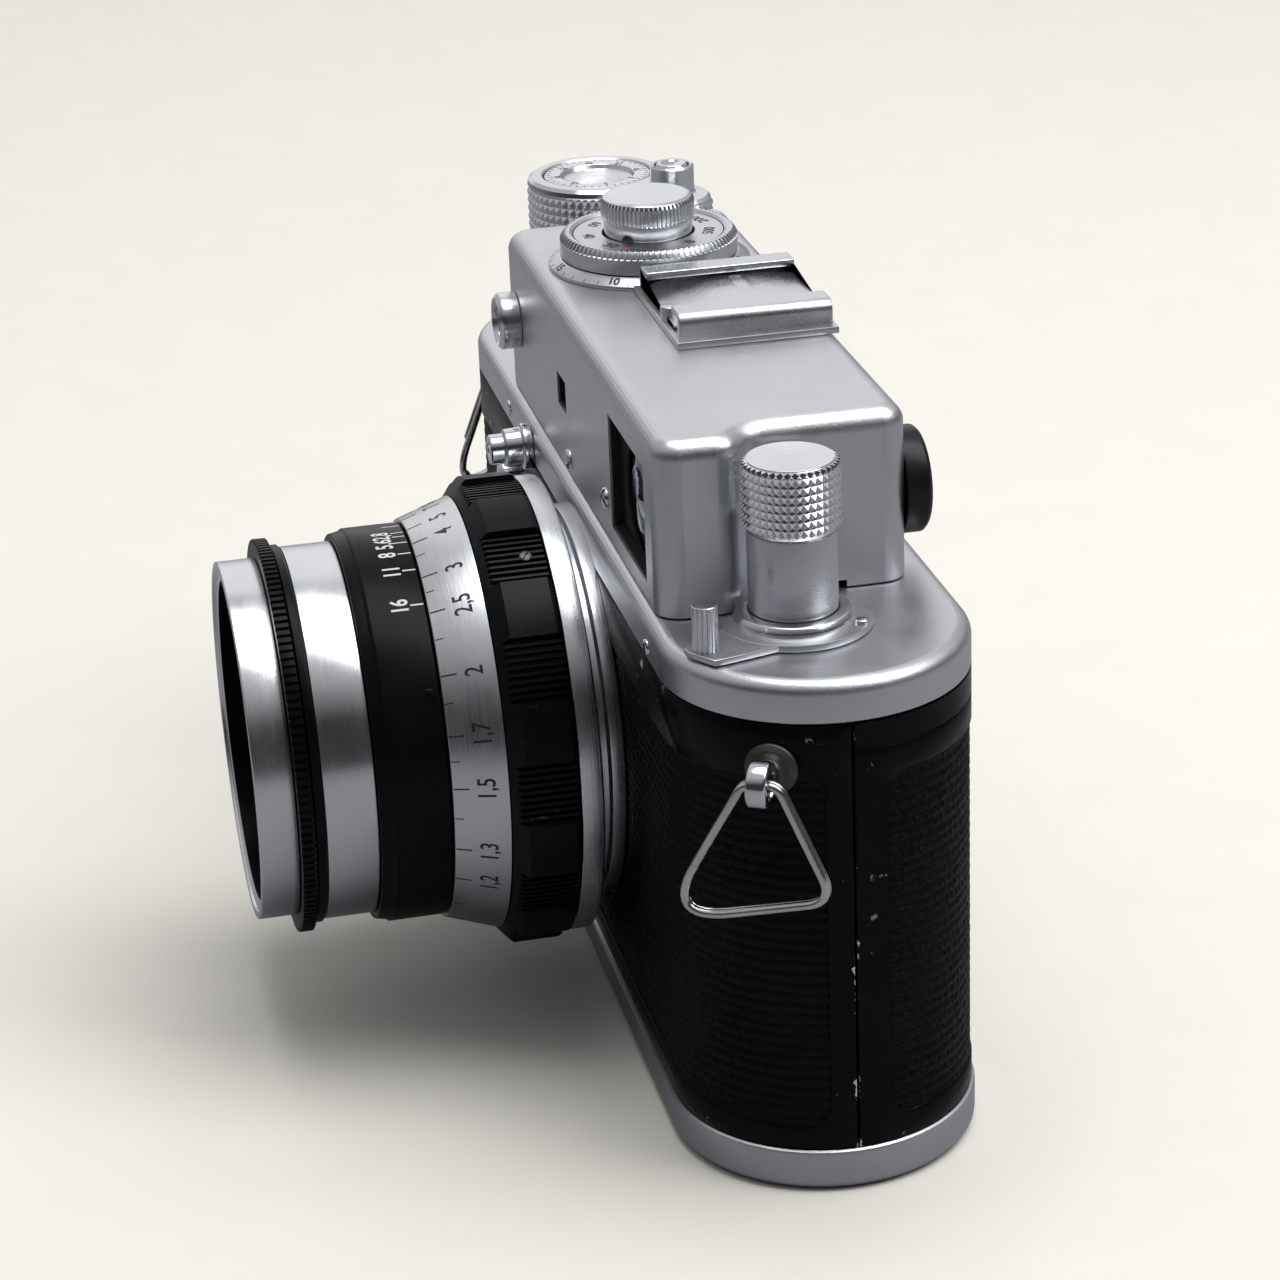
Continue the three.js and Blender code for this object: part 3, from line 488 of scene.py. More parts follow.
BARE = (0.5, 0.49, 0.46)
SATIN = surface("satin_silver", (0.63, 0.645, 0.675), 1, 0.37, spread=0.05, tint=0.03, grain=3000,
                relief=0.45)
SATIN_TURNED = surface("satin_turned", (0.64, 0.66, 0.69), 1, 0.31, grain=6000, relief=0.08,
                       turned_grain=True)
BRIGHT = surface("bright_turned", (0.74, 0.76, 0.79), 1, 0.23, spread=0.05, tint=0.04, grain=7000,
                 relief=0.12, turned_grain=True)
KNURLED = surface("bright_knurl", (0.72, 0.74, 0.78), 1, 0.24, tint=0.05, grain=3000, relief=0.1)
SCALE = surface("scale_silver", (0.68, 0.7, 0.73), 1, 0.3, tint=0.03, grain=7000, relief=0.2,
                turned_grain=True)
RAIL = surface("rail_silver", (0.66, 0.68, 0.71), 1, 0.3, tint=0.03, grain=6000, relief=0.08)
CHROME = surface("polished_chrome", (0.74, 0.76, 0.8), 1, 0.13, spread=0.04, tint=0.03, grain=1500,
                 relief=0.06)
WIRE = surface("wire_steel", (0.66, 0.65, 0.64), 1, 0.22, tint=0.1, grain=2500, relief=0.15)
STEEL = surface("ground_steel", (0.5, 0.5, 0.52), 1, 0.3, tint=0.08, grain=2500, relief=0.2)
BRASS = surface("brass", (0.5, 0.4, 0.22), 1, 0.32, tint=0.1, grain=2500, relief=0.15)
ANODISED = surface("black_anodised", (0.003, 0.003, 0.0035), 0, 0.32, spread=0.07, tint=0.2, grain=6000,
                   relief=0.15, turned_grain=True, specular=0.1)
GRIP_BLACK = surface("grip_black", (0.003, 0.0035, 0.005), 0, 0.33, spread=0.08, tint=0.2, grain=5000,
                     relief=0.15, wear=(0.1, 0.1, 0.1), specular=0.13)
PAINT = surface("black_paint", (0.0025, 0.0025, 0.003), 0, 0.27, spread=0.07, tint=0.15, grain=2600,
                relief=0.12, wear=BARE, specular=0.1)
EDGE_PAINT = surface("seam_paint", (0.0025, 0.0025, 0.003), 0, 0.27, spread=0.07, tint=0.15, grain=2600,
                     relief=0.12, wear=BARE, specular=0.1, worn_y=MIDDLE_Y + (BACK_EDGE - FRONT_EDGE) / 2)
LEATHER = surface("leatherette", (0.004, 0.004, 0.0045), 0, 0.45, spread=0.1, tint=0.25, grain=2400,
                  relief=0.5, bump_distance=0.0001, specular=0.085, beads=1500)
FOOT = surface("dull_nickel", (0.1, 0.1, 0.09), 1, 0.42, tint=0.12, grain=3000, relief=0.2)
CASTING = surface("matt_casting", (0.012, 0.012, 0.012), 0, 0.65, grain=1800, relief=0.5, specular=0.15)
PLASTIC = surface("black_plastic", (0.008, 0.008, 0.009), 0, 0.33, tint=0.15, grain=2200, relief=0.15,
                  specular=0.25)
CLOTH = surface("curtain_cloth", (0.015, 0.015, 0.015), 0, 0.8, grain=4200, relief=0.8)
INK = surface("black_ink", (0.012, 0.012, 0.013), 0, 0.5, grain=4000, relief=0.1)
WHITE_INK = surface("white_ink", (0.72, 0.72, 0.7), 0, 0.5, grain=4000, relief=0.1)
RED_INK = surface("red_ink", (0.45, 0.05, 0.03), 0, 0.45, grain=4000, relief=0.1)


def glass(name, color, tint):
    """Dark coated glass: a clear coat over a deep tint, mottled slightly."""
    material = surface(name, color, 0, 0.04, 0.01, 0.1, 400, specular=0.8, coat=0.6, coat_rough=0.02)
    shader = material.node_tree.nodes["Principled BSDF"]
    shader.inputs["Coat Tint"].default_value = (*tint, 1)
    return material


LENS_GLASS = glass("coated_glass", (0.012, 0.014, 0.022), (0.8, 0.78, 1.0))
FINDER_GLASS = glass("finder_glass", (0.03, 0.035, 0.045), (0.8, 0.85, 1.0))

KEPT = (
    (CASTING, "film_chassis", "finder_block"),
    (STEEL, "film_gate", "pressure_plate", "curtain_drum", "spring_roller", "tripod_socket"),
    (CLOTH, "shutter_curtain"),
    (PLASTIC, "take_up_spool"),
    (BRASS, "film_sprocket", "rangefinder_arm"),
    (LENS_GLASS, "front_element", "rear_element"),
    (FINDER_GLASS, "finder_front_lens", "eyepiece_lens"),
    (CHROME, "lock_handle_left", "lock_handle_right"),
    (ANODISED, *(f"iris_blade_{blade}" for blade in range(1, 6))),
)


def dress_kept_nodes():
    for material, *names in KEPT:
        for name in names:
            for slot in frame["nodes"][name].material_slots:
                slot.material = material


# ---------------- body shells and leatherette

def half_outline(inset, edge, steps=28):
    """From the -X end to the +X end round one side, stopping at a distance from the middle plane."""
    radius = HALF_DEPTH - inset
    last = math.degrees(math.acos(edge / radius))
    left = arc(-END_X, 0, radius, -90 - last, -90, steps)
    right = arc(END_X, 0, radius, -90, -90 + last, steps)
    return left + right


def wrap(s, z, inset, side):
    """A point on the body's wall, by its way round from the middle of one side."""
    radius = HALF_DEPTH - inset
    over = max(0.0, abs(s) - END_X) / HALF_DEPTH
    x = min(abs(s), END_X) + radius * math.sin(over)
    return (math.copysign(x, s), MIDDLE_Y + side * radius * math.cos(over), z)


def way_round(y):
    """How far round from the middle of a side the wall comes to within y of the middle plane."""
    return END_X + HALF_DEPTH * math.acos(y / HALF_DEPTH)


def rounded_loop(half, low, high, radius, spacing=1.0, steps=6):
    """A rounded rectangle in (way round, height)."""
    reach = half - radius
    count = int(2 * reach / spacing)
    along = [reach - 2 * reach * k / count for k in range(1, count)]
    loop = arc(reach, low + radius, radius, -90, 0, steps)
    loop += arc(reach, high - radius, radius, 0, 90, steps)
    loop += [(s, high) for s in along]
    loop += arc(-reach, high - radius, radius, 90, 180, steps)
    loop += arc(-reach, low + radius, radius, 180, 270, steps)
    loop += [(-s, low) for s in along]
    return loop


def outer_loop(loop, half, low, high, outer_half, outer_low, outer_high, radius):
    """Moves each point of a rounded loop out to a larger rectangle."""
    moved = []
    for s, z in loop:
        upper = z > (low + high) / 2
        edge_z = high - radius if upper else low + radius
        target = outer_high if upper else outer_low
        beyond_s = (abs(s) - (half - radius)) / radius
        beyond_z = (z - edge_z if upper else edge_z - z) / radius
        share = math.atan2(beyond_z, beyond_s) / (math.pi / 2)
        if beyond_s <= 0:
            moved.append((s, target))
        elif beyond_z <= 0:
            moved.append((math.copysign(outer_half, s), z))
        elif share >= 0.5:
            reach = outer_half + (half - radius - outer_half) * (share - 0.5) * 2
            moved.append((math.copysign(reach, s), target))
        else:
            moved.append((math.copysign(outer_half, s), edge_z + (target - edge_z) * share * 2))
    return moved


def painted_frame(side, edge, skin_edge, low, high):
    """The raised painted border round a leatherette panel, with rounded edges."""
    soft, ease = 0.12, 0.15
    half, outer_half = way_round(skin_edge), way_round(edge)
    inner = rounded_loop(half, PANEL_LOW, PANEL_HIGH, PANEL_CORNER)
    lip = rounded_loop(half + soft, PANEL_LOW - soft, PANEL_HIGH + soft, PANEL_CORNER + soft)
    bounds = (half, PANEL_LOW, PANEL_HIGH)
    outer = outer_loop(inner, *bounds, outer_half, low, high, PANEL_CORNER)
    near = outer_loop(inner, *bounds, outer_half - ease, low + ease, high - ease, PANEL_CORNER)
    levels = ((outer, SKIN_INSET), (outer, soft), (near, 0), (lip, 0), (inner, soft),
              (inner, SKIN_INSET + 0.05))
    return loft([[wrap(s, z, inset, side) for s, z in loop] for loop, inset in levels], caps=False)


def shell_wall(side, edge, low, high):
    outer = half_outline(SKIN_INSET, edge)
    inner = half_outline(SHELL_WALL, edge)
    outline = outer + inner[::-1]
    return extrude([(x, MIDDLE_Y - side * y) for x, y in outline], low, high)


RIDGE_PITCH = 1.28
RIDGE_RISE = 0.26


def ridge_height(s, z):
    """Wavy ribs along the sheet."""
    drift = 0.07 * math.sin(s * 0.7 + z) + 0.05 * math.sin(s * 2.9 + z * 0.4)
    rib = abs(math.sin(math.pi * (z + drift) / RIDGE_PITCH))
    return RIDGE_RISE * rib ** 0.8


def leather_sheet(side, skin_edge, low, high):
    """A ribbed sheet, whose edges run in under the painted frame."""
    half = way_round(skin_edge) + 0.2
    across_steps = int(half / 0.4)
    up_steps = int((high - low) / 0.16)
    top, bottom = [], []
    for i in range(across_steps + 1):
        s = -half + 2 * half * i / across_steps
        for k in range(up_steps + 1):
            z = low + (high - low) * k / up_steps
            top.append(wrap(s, z, SKIN_INSET - 0.02 - ridge_height(s, z), side))
            bottom.append(wrap(s, z, SKIN_INSET + 0.3, side))
    count = up_steps + 1
    shift = len(top)
    faces = []
    for i in range(across_steps):
        for k in range(up_steps):
            a, b, c, d = i * count + k, (i + 1) * count + k, (i + 1) * count + k + 1, i * count + k + 1
            faces.append((a, b, c, d))
            faces.append((shift + a, shift + d, shift + c, shift + b))
    rim = [i * count for i in range(across_steps)] + [across_steps * count + k for k in range(up_steps)]
    rim += [i * count + up_steps for i in range(across_steps, 0, -1)] + list(range(up_steps, 0, -1))
    for a, b in zip(rim, rim[1:] + rim[:1]):
        faces.append((a, b, shift + b, shift + a))
    return top + bottom, faces


def build_front():
    low, high = FRONT_LOW.z, FRONT_HIGH.z
    skin_edge = MIDDLE_Y - span("front_leatherette")[1].y + 0.2
    mount = across("lens_mount_ring")
    wall = make("front_shell_wall", *shell_wall(-1, FRONT_EDGE, low, high), PAINT, "camera_body",
                replaces=("body_shell",), slot="black_paint")
    button = centre("self_timer_button")
    button_hole = drill_front(button.x, button.z, across("self_timer_button") + 0.15, 12, 20, 48)
    carve(wall, drill_front(LENS_AT.x, LENS_AT.z, mount - 3.5, 10, 20), button_hole)
    border_mesh = painted_frame(-1, FRONT_EDGE, skin_edge, low, high)
    border = make("front_shell_border", *border_mesh, EDGE_PAINT, "camera_body", sharp=50,
                  slot="black_paint")
    carve(border, drill_front(LENS_AT.x, LENS_AT.z, mount + 0.05, 10, 20), button_hole, sharp=50)
    sheet = make("front_leather", *leather_sheet(-1, skin_edge, PANEL_LOW - 0.2, PANEL_HIGH + 0.2), LEATHER,
                 "camera_body", sharp=80, replaces=("front_leatherette",), slot="leatherette")
    carve(sheet, drill_front(LENS_AT.x, LENS_AT.z, mount + 0.2, 10, 20), sharp=80)


def build_back():
    low, high = BACK_LOW.z, BACK_HIGH.z
    band = high - 3.0
    skin_edge = span("rear_leatherette")[0].y - MIDDLE_Y - 0.1
    make("back_shell_wall", *shell_wall(1, BACK_EDGE, low, high), PAINT, "back", replaces=("back_cover",),
         slot="black_paint")
    border_mesh = painted_frame(1, BACK_EDGE, skin_edge, low, band - 0.12)
    strip = half_outline(0, BACK_EDGE, 40) + half_outline(SKIN_INSET + 0.05, BACK_EDGE, 40)[::-1]
    strip_mesh = extrude([(x, MIDDLE_Y - y) for x, y in strip], band + 0.06, high)
    make("back_shell_border", *join_meshes(border_mesh, strip_mesh), EDGE_PAINT, "back", sharp=50,
         slot="black_paint")
    make("back_leather", *leather_sheet(1, skin_edge, PANEL_LOW - 0.2, PANEL_HIGH + 0.2), LEATHER, "back",
         sharp=80, replaces=("rear_leatherette",), slot="leatherette")


# ---------------- base

def slab_loop(inset, z, steps=32):
    radius = HALF_DEPTH - inset
    outline = arc(END_X, MIDDLE_Y, radius, -90, 90, steps) + arc(-END_X, MIDDLE_Y, radius, 90, 270, steps)
    return [(x, y, z) for x, y in outline]


def fillet(reach, low, high, steps=6):
    """(inset, height) along a rounded top edge."""
    levels = []
    for k in range(steps + 1):
        a = math.pi / 2 * k / steps
        levels.append((low + reach * (1 - math.cos(a)), high - reach + reach * math.sin(a)))
    return levels


def build_base():
    over = HALF_LENGTH - BASE_HIGH.x
    top, bottom, floor = BASE_HIGH.z, BASE_LOW.z, 1.6
    foot = [(inset, 2 * bottom + 1.5 - z) for inset, z in reversed(fillet(1.5, over, bottom + 1.5))]
    outside = foot + [(over, top - 0.5), (over + 0.12, top - 0.15), (over + 0.4, top)]
    inside = [(SHELL_WALL - 0.2, top), (SHELL_WALL, top - 0.2), (SHELL_WALL, floor)]
    verts, faces = loft([slab_loop(inset, z) for inset, z in outside + inside])
    plate = make("base_tray", verts, faces, SATIN, "back", replaces=("base_plate",), slot="satin_chrome")
    keys = [centre("lock_disc_left"), centre("lock_disc_right")]
    socket = centre("tripod_socket")
    carve(plate, *[drill(key.x, key.y, across("lock_disc_left") + 0.25, -1, 4) for key in keys],
          drill(socket.x, socket.y, 5.55, -1, 4))
    for side, key in zip(("left", "right"), keys):
        build_lock_disc(side, key)


def build_lock_disc(side, key):
    """The turning disc of a base lock, with a half-moon recess for its folding handle."""
    low, high = span("lock_disc_" + side)
    radius = across("lock_disc_" + side)
    disc = lathe("lock_plate_" + side, [(0, low.z), (radius, low.z), (radius, high.z), (0, high.z)],
                 SATIN_TURNED, "lock_key_" + side, upright(key.x, key.y), 128,
                 replaces=("lock_disc_" + side,), slot="satin_chrome")
    hollow = [(x, max(y, -2.6)) for x, y in arc(0, 0, 7.5, -20.3, 200.3, 48)]
    carve(disc, (*extrude(hollow, -1, low.z + 1.4), upright(key.x, key.y)))


# ---------------- top cover

def s_bend(x0, y0, x1, y1):
    """Two equal arcs that step inwards from x0 to x1, running along Y at both ends."""
    step, run = x0 - x1, y1 - y0
    radius = (step * step + run * run) / (4 * step)
    swing = math.degrees(math.asin(run / 2 / radius))
    bulge = arc(x0 - radius, y0, radius, 0, swing, 8)
    hollow = arc(x1 + radius, y1, radius, 180 + swing, 180, 8)
    return bulge + hollow[1:]


def housing_outline():
    """The housing seen from above, counter-clockwise, with its nose in front of the rewind knob."""
    left, right, nose = HOUSING["left"], HOUSING["right"], HOUSING["nose"]
    front, back, corner = HOUSING["front"], HOUSING["back"], HOUSING["corner"]
    points = arc(nose - corner, front + corner, corner, -90, 0, 8)
    points += s_bend(nose, NOSE_END_Y, right, NOSE_BEND_Y)
    points += arc(right - corner, back - corner, corner, 0, 90, 8)
    points += [(right - corner - (right - left - 2 * corner) * k / 40, back) for k in range(1, 40)]
    points += arc(left + corner, back - corner, corner, 90, 180, 12)
    points += [(left, back - corner - (back - front - 2 * corner) * k / 40) for k in range(1, 40)]
    points += arc(left + corner, front + corner, corner, 180, 270, 8)
    release, clear = release_bite()
    bitten = []
    for point in points:
        away = Vector(point) - release
        bitten.append(tuple(release + away.normalized() * clear) if away.length < clear else point)
    return bitten


def release_bite():
    """Middle and radius of the round notch that the housing leaves for the release collar."""
    x, y = axis_of("release_collar")
    return Vector((x, y - MIDDLE_Y)), across("release_collar") + 0.6


def rounding_shares(outline):
    """How much of the housing's rounding each point keeps: little beside the release collar."""
    release, clear = release_bite()
    shares = []
    for point in outline:
        beyond = (Vector(point) - release).length - clear
        shares.append(min(1, 0.2 + 0.8 * max(0, beyond - 0.3) / 4))
    return shares


def build_cover():
    """The shoulder, open under the housing and bored for the spindles."""
    floor, shoulder = COVER_LOW.z, SHOULDER_TOP
    skirt = [(0.2, floor), (0, floor + 0.2), *fillet(1.6, 0, shoulder), (1.9, shoulder)]
    inside = [(SHELL_WALL, floor), (SHELL_WALL, shoulder - 1.2)]
    levels = [slab_loop(i, z, 48) for i, z in skirt[::-1] + inside]
    cover = make("cover_shoulder", *loft(levels), SATIN, "camera_body", replaces=("top_cover",),
                 slot="satin_chrome")
    bores = {"rewind_spindle": across("rewind_spindle") + 0.25, "wind_knob": 2.9, "release_collar": 2.6}
    opening = [(x, y + MIDDLE_Y) for x, y in inwards(housing_outline(), 2.6)]
    carve(cover, *[drill(*axis_of(n), bore, floor - 1, shoulder + 1) for n, bore in bores.items()],
          (*extrude(opening, floor - 1, shoulder + 1), Matrix.Identity(4)))


FINDER_WINDOW = {"left": 26, "right": 44, "low": 63, "high": 76.5}
FLASH_WINDOW = {"left": -4, "right": 1, "low": 68, "high": 72}


def build_housing():
    """The housing on the shoulder, with its windows, eyepiece hole and dial bore."""
    outline = housing_outline()
    shares = rounding_shares(outline)
    base, top = SHOULDER_TOP + 0.12, COVER_HIGH.z
    outer = [(0.15, base), (0, base + 0.15), *fillet(2.2, 0, top, 8), (2.5, top)]
    inner = [(COVER_WALL, base), (COVER_WALL, top - 1.3)]
    levels = []
    for inset, z in outer[::-1] + inner:
        levels.append([(x, y + MIDDLE_Y, z) for x, y in inwards(outline, inset, shares)])
    housing = make("cover_housing", *loft(levels), SATIN, "camera_body", slot="satin_chrome")
    window, eye = centre("rangefinder_window"), centre("eyepiece_ring")
    front = HOUSING_FRONT_Y
    windows = [box_cutter(w["left"], w["right"], front - 3, front + 2.4, w["low"], w["high"])
               for w in (FINDER_WINDOW, FLASH_WINDOW)]
    carve(housing, *windows,
          (*extrude(circle(2.8, 64), -3, 3), facing_front(window.x, window.z, front)),
          (*extrude(circle(4.4, 64), -3, 3), facing_front(eye.x, eye.z, HOUSING_BACK_Y)),
          drill(*axis_of("speed_spindle"), 3, top - 4, top + 1),
          box_cutter(45.2, 47.2, MIDDLE_Y + 4.6, MIDDLE_Y + 6, base - 1, base + 0.9))


# ---------------- screws

def screw(name, place, radius, dome, body, material=CHROME, slot_turn=0.4, slot="polished_chrome"):
    """A slotted screw head. Local Z points out of the surface."""
    foot = 0.08
    angles = [math.pi / 2 * k / 6 for k in range(1, 7)]
    profile = [(0, -0.3), (radius, -0.3), (radius, foot)]
    profile += [(radius * math.cos(a), foot + dome * math.sin(a)) for a in angles]
    head = lathe(name, profile, material, body, place, 40, reach=0, slot=slot)
    half, reach = radius * 0.14, radius * 1.2
    groove = [(-reach, -half), (reach, -half), (reach, half), (-reach, half)]
    carve(head, (*extrude(groove, dome * 0.25, dome + 1), place @ Matrix.Rotation(slot_turn, 4, "Z")))


def side_screw(name, degrees, radius, height, dome, body, material, slot_turn, slot):
    """A small screw head on the side of a lens ring."""
    place = around_lens(degrees, radius, height) @ Matrix.Rotation(math.pi / 2, 4, "Y")
    screw(name, place, 0.75, dome, body, material, slot_turn, slot)


def build_body_screws():
    rows = (
        ("housing_screw_", HOUSING_FRONT_Y, 1.25, 0.55, ((1.6, 62.6, 0.3), (23.1, 65.4, 1.2))),
        ("skirt_screw_", FRONT_LOW.y, 0.95, 0.35, ((48.2, 57.3, 0.9), (-32.5, 58, 0.2))))
    for name, y, radius, dome, screws in rows:
        for i, (x, z, turn) in enumerate(screws, 1):
            screw(name + str(i), facing_front(x, z, y), radius, dome, "camera_body", slot_turn=turn)


# ---------------- lens

def text_mesh(words, height, bold=0.0, narrowing=1.0):
    """Flat numerals as points and triangles, centred on the origin, with the given height."""
    curve = bpy.data.curves.new("numeral", "FONT")
    curve.body = words
    curve.align_x = "CENTER"
    curve.align_y = "CENTER"
    curve.size = height / 0.7
    curve.offset = bold
    curve.resolution_u = 4
    carrier = show(bpy.data.objects.new("numeral", curve))
    bpy.context.view_layer.update()
    seen = carrier.evaluated_get(bpy.context.evaluated_depsgraph_get())
    data = bpy.data.meshes.new_from_object(seen)
    verts = [(v.co.x * narrowing, v.co.y) for v in data.vertices]
    faces = [tuple(p.vertices) for p in data.polygons]
    bpy.data.objects.remove(carrier)
    bpy.data.meshes.remove(data)
    bpy.data.curves.remove(curve)
    return verts, faces


def thicken(flat, lift, place_of):
    """Gives a flat mark a thickness. place_of turns (x, y, height above the surface) into a point."""
    verts, faces = flat
    count = len(verts)
    solid = [place_of(x, y, lift) for x, y in verts] + [place_of(x, y, -0.05) for x, y in verts]
    sides = {}
    for face in faces:
        for a, b in zip(face, face[1:] + face[:1]):
            if (b, a) in sides:
                del sides[(b, a)]
            else:
                sides[(a, b)] = True
    made = [tuple(face) for face in faces] + [tuple(count + i for i in reversed(face)) for face in faces]
    made += [(a, count + a, count + b, b) for a, b in sides]
    return solid, made


def print_marks(name, marks, lift, material, body, place, slot):
    """One piece from flat marks, each with the function that lays it on its surface."""
    parts = [thicken(flat, lift, place_of) for flat, place_of in marks]
    make(name, *join_meshes(*parts), material, body, place, slot=slot)


def mark(half_width, low, high):
    """A flat tick, split so that it can follow a round surface."""
    verts, faces = [], []
    for k in range(4):
        y = low + (high - low) * k / 3
        verts += [(-half_width, y), (half_width, y)]
    for k in range(3):
        faces.append((2 * k, 2 * k + 1, 2 * k + 3, 2 * k + 2))
    return verts, faces


def on_ring(angle, height, radius_at):
    """Marks read with their tops towards the front of the lens, running up the +X side."""
    def place_of(x, y, lift):
        r = radius_at(height + y)
        a = math.radians(angle) + x / r
        return ((r + lift) * math.cos(a), (r + lift) * math.sin(a), height + y)
    return place_of


def on_dial(angle, radius, height):
    """Marks lie flat on a dial, with their tops towards its middle."""
    def place_of(x, y, lift):
        out = Vector((math.cos(math.radians(angle)), math.sin(math.radians(angle))))
        point = out * (radius - y) + Vector((-out.y, out.x)) * x
        return (point.x, point.y, height + lift)
    return place_of


def on_skirt(angle, foot, rim):
    """Marks read from outside, on a cone that rises from foot to rim. Both are (radius, height)."""
    foot, slope = Vector(foot), Vector(rim) - Vector(foot)
    out = Vector((slope.y, -slope.x)).normalized()
    def place_of(x, y, lift):
        r, z = foot + slope * (0.5 + y / slope.length) + out * lift
        a = math.radians(angle) + x / r
        return (r * math.cos(a), r * math.sin(a), z)
    return place_of


GRIP_STEP = 20.4  # radius of the step where the focusing grip meets its seat ring


def build_mount():
    back, front = ahead("lens_mount_ring")
    outer = across("lens_mount_ring")
    throat = 18.9
    seat = HALF_DEPTH - 0.1
    lathe("mount_flange", [
        (throat, back), (throat + 1, back), (throat + 1, seat), (outer, seat), (outer, front - 1.5),
        (outer - 0.9, front - 1.4), (outer - 0.9, front), (throat, front)],
        SCALE, "camera_body", LENS, 192, replaces=("lens_mount_ring",), slot="bright_metal")
    back, front = ahead("lens_base_ring")
    edge = across("lens_base_ring")
    face = back + 3.6
    lathe("lens_seat_ring", [
        (17.4, back), (18.7, back), (18.7, face), (edge - 0.4, face), (edge, face + 0.15),
        (edge, face + 2.7), (GRIP_STEP, face + 2.7), (GRIP_STEP, face + 2.1), (17.4, face + 2.1),
        (17.4, front), (15.7, front), (15.7, face), (17.4, face)], SCALE, "lens", LENS, 192,
        replaces=("lens_base_ring",), slot="bright_metal")
    lathe("mount_index_dot", [(0, 0), (0.8, 0), (0.8, 0.25), (0, 0.35)], RED_INK, "camera_body",
          around_lens(18, outer - 2.6, 19.8), 24, slot="bright_metal")


GRIP_ZONES = 12
RIBBED_START = 24.7  # degrees
RIBBED_WIDTH = 14.6
RIBS = 8
GRIP_SUNK = 0.6
GRIP_GROOVE = 0.5


def grip_angles():
    """(degrees, depth) round the focusing grip: ribbed zones, with smooth raised pads between them."""
    valley = GRIP_SUNK + GRIP_GROOVE
    ramp, pad = 0.5, 360 / GRIP_ZONES - RIBBED_WIDTH - 1.0
    width = (RIBBED_WIDTH - 0.6) / RIBS
    angles = []
    for zone in range(GRIP_ZONES):
        start = RIBBED_START + zone * 360 / GRIP_ZONES
        end = start + RIBBED_WIDTH
        angles += [(start - ramp, 0.0), (start, valley)]
        for rib in range(RIBS):
            a = start + 0.6 + width * rib
            angles += [(a, valley), (a + width * 0.18, GRIP_SUNK), (a + width * 0.55, GRIP_SUNK),
                       (a + width * 0.73, valley)]
        angles += [(end, valley), (end + ramp, 0.0)]
        angles += [(end + ramp + pad * k / 8, 0.0) for k in range(1, 8)]
    return angles


def build_focus_grip():
    """A ribbed grip with a cone in front. The ribs run out on the cone."""
    back, front = ahead("focus_grip")
    radius = across("focus_grip")
    shoulder, cone, bore = back + 6.9, 26.2, 17.6
    rear = back + 0.7
    slope = (radius - cone) / (front - shoulder)
    levels = []
    for angle, depth in grip_angles():
        a = math.radians(angle)
        r = radius - depth
        edge = 0.3 if depth == 0 else 0.05
        reach = min(shoulder + depth / slope, front - 0.2)
        profile = [(bore, back), (GRIP_STEP - 0.3, back), (GRIP_STEP - 0.3, rear), (r - edge, rear),
                   (r, rear + edge * 1.6), (r, reach - edge), (r - edge * 0.8, reach), (cone, front),
                   (21.1, front), (21.1, front - 1.3), (bore, front - 1.3)]
        levels.append([(q * math.cos(a), q * math.sin(a), h) for q, h in profile])
    make("focus_grip_ring", *loft(levels, caps=False), GRIP_BLACK, "focus_ring", LENS, sharp=25,
         replaces=("focus_grip",), slot="black_anodised")
    side_screw("focus_grip_screw", RIBBED_START + RIBBED_WIDTH / 2 + 30, radius - 0.75, back + 2.9, 0.12,
               "focus_ring", FOOT, 0.9, "steel")


def distance_angle(metres):
    """Where a distance stands on the focusing scale, in degrees from the +X side."""
    return 128 - 187 / metres


def build_distance_ring():
    back, front = ahead("distance_ring")
    wide = across("distance_ring")
    narrow = wide - 2.1
    lathe("distance_scale_ring", [(21.1, back), (wide, back), (narrow, front), (21.1, front)], SCALE,
          "focus_ring", LENS, 256, reach=0.12, replaces=("distance_ring",), slot="scale_metal")

    def radius_at(h):
        return wide + (narrow - wide) * (h - back) / (front - back)

    marks = []
    for metres in (1, 1.2, 1.3, 1.5, 1.7, 2, 2.5, 3, 4, 5, 7, 10, math.inf):
        angle = distance_angle(metres)
        words = "∞" if metres == math.inf else str(metres).replace(".", ",")
        marks.append((text_mesh(words, 2.0, 0.03, 0.8), on_ring(angle, back + 2.35, radius_at)))
        marks.append((mark(0.09, -1.9, -0.15), on_ring(angle, front + 0.05, radius_at)))
    for metres in (1.1, 1.4, 1.6, 1.85, 2.25, 2.75, 3.5):
        marks.append((mark(0.06, -1.1, -0.15), on_ring(distance_angle(metres), front + 0.05, radius_at)))
    print_marks("distance_numerals", marks, 0.02, INK, "focus_ring", LENS, "scale_metal")


DEPTH_INDEX = 99.3  # degrees from the +X side
DEPTH_STEP = 2.63  # degrees for each whole stop number


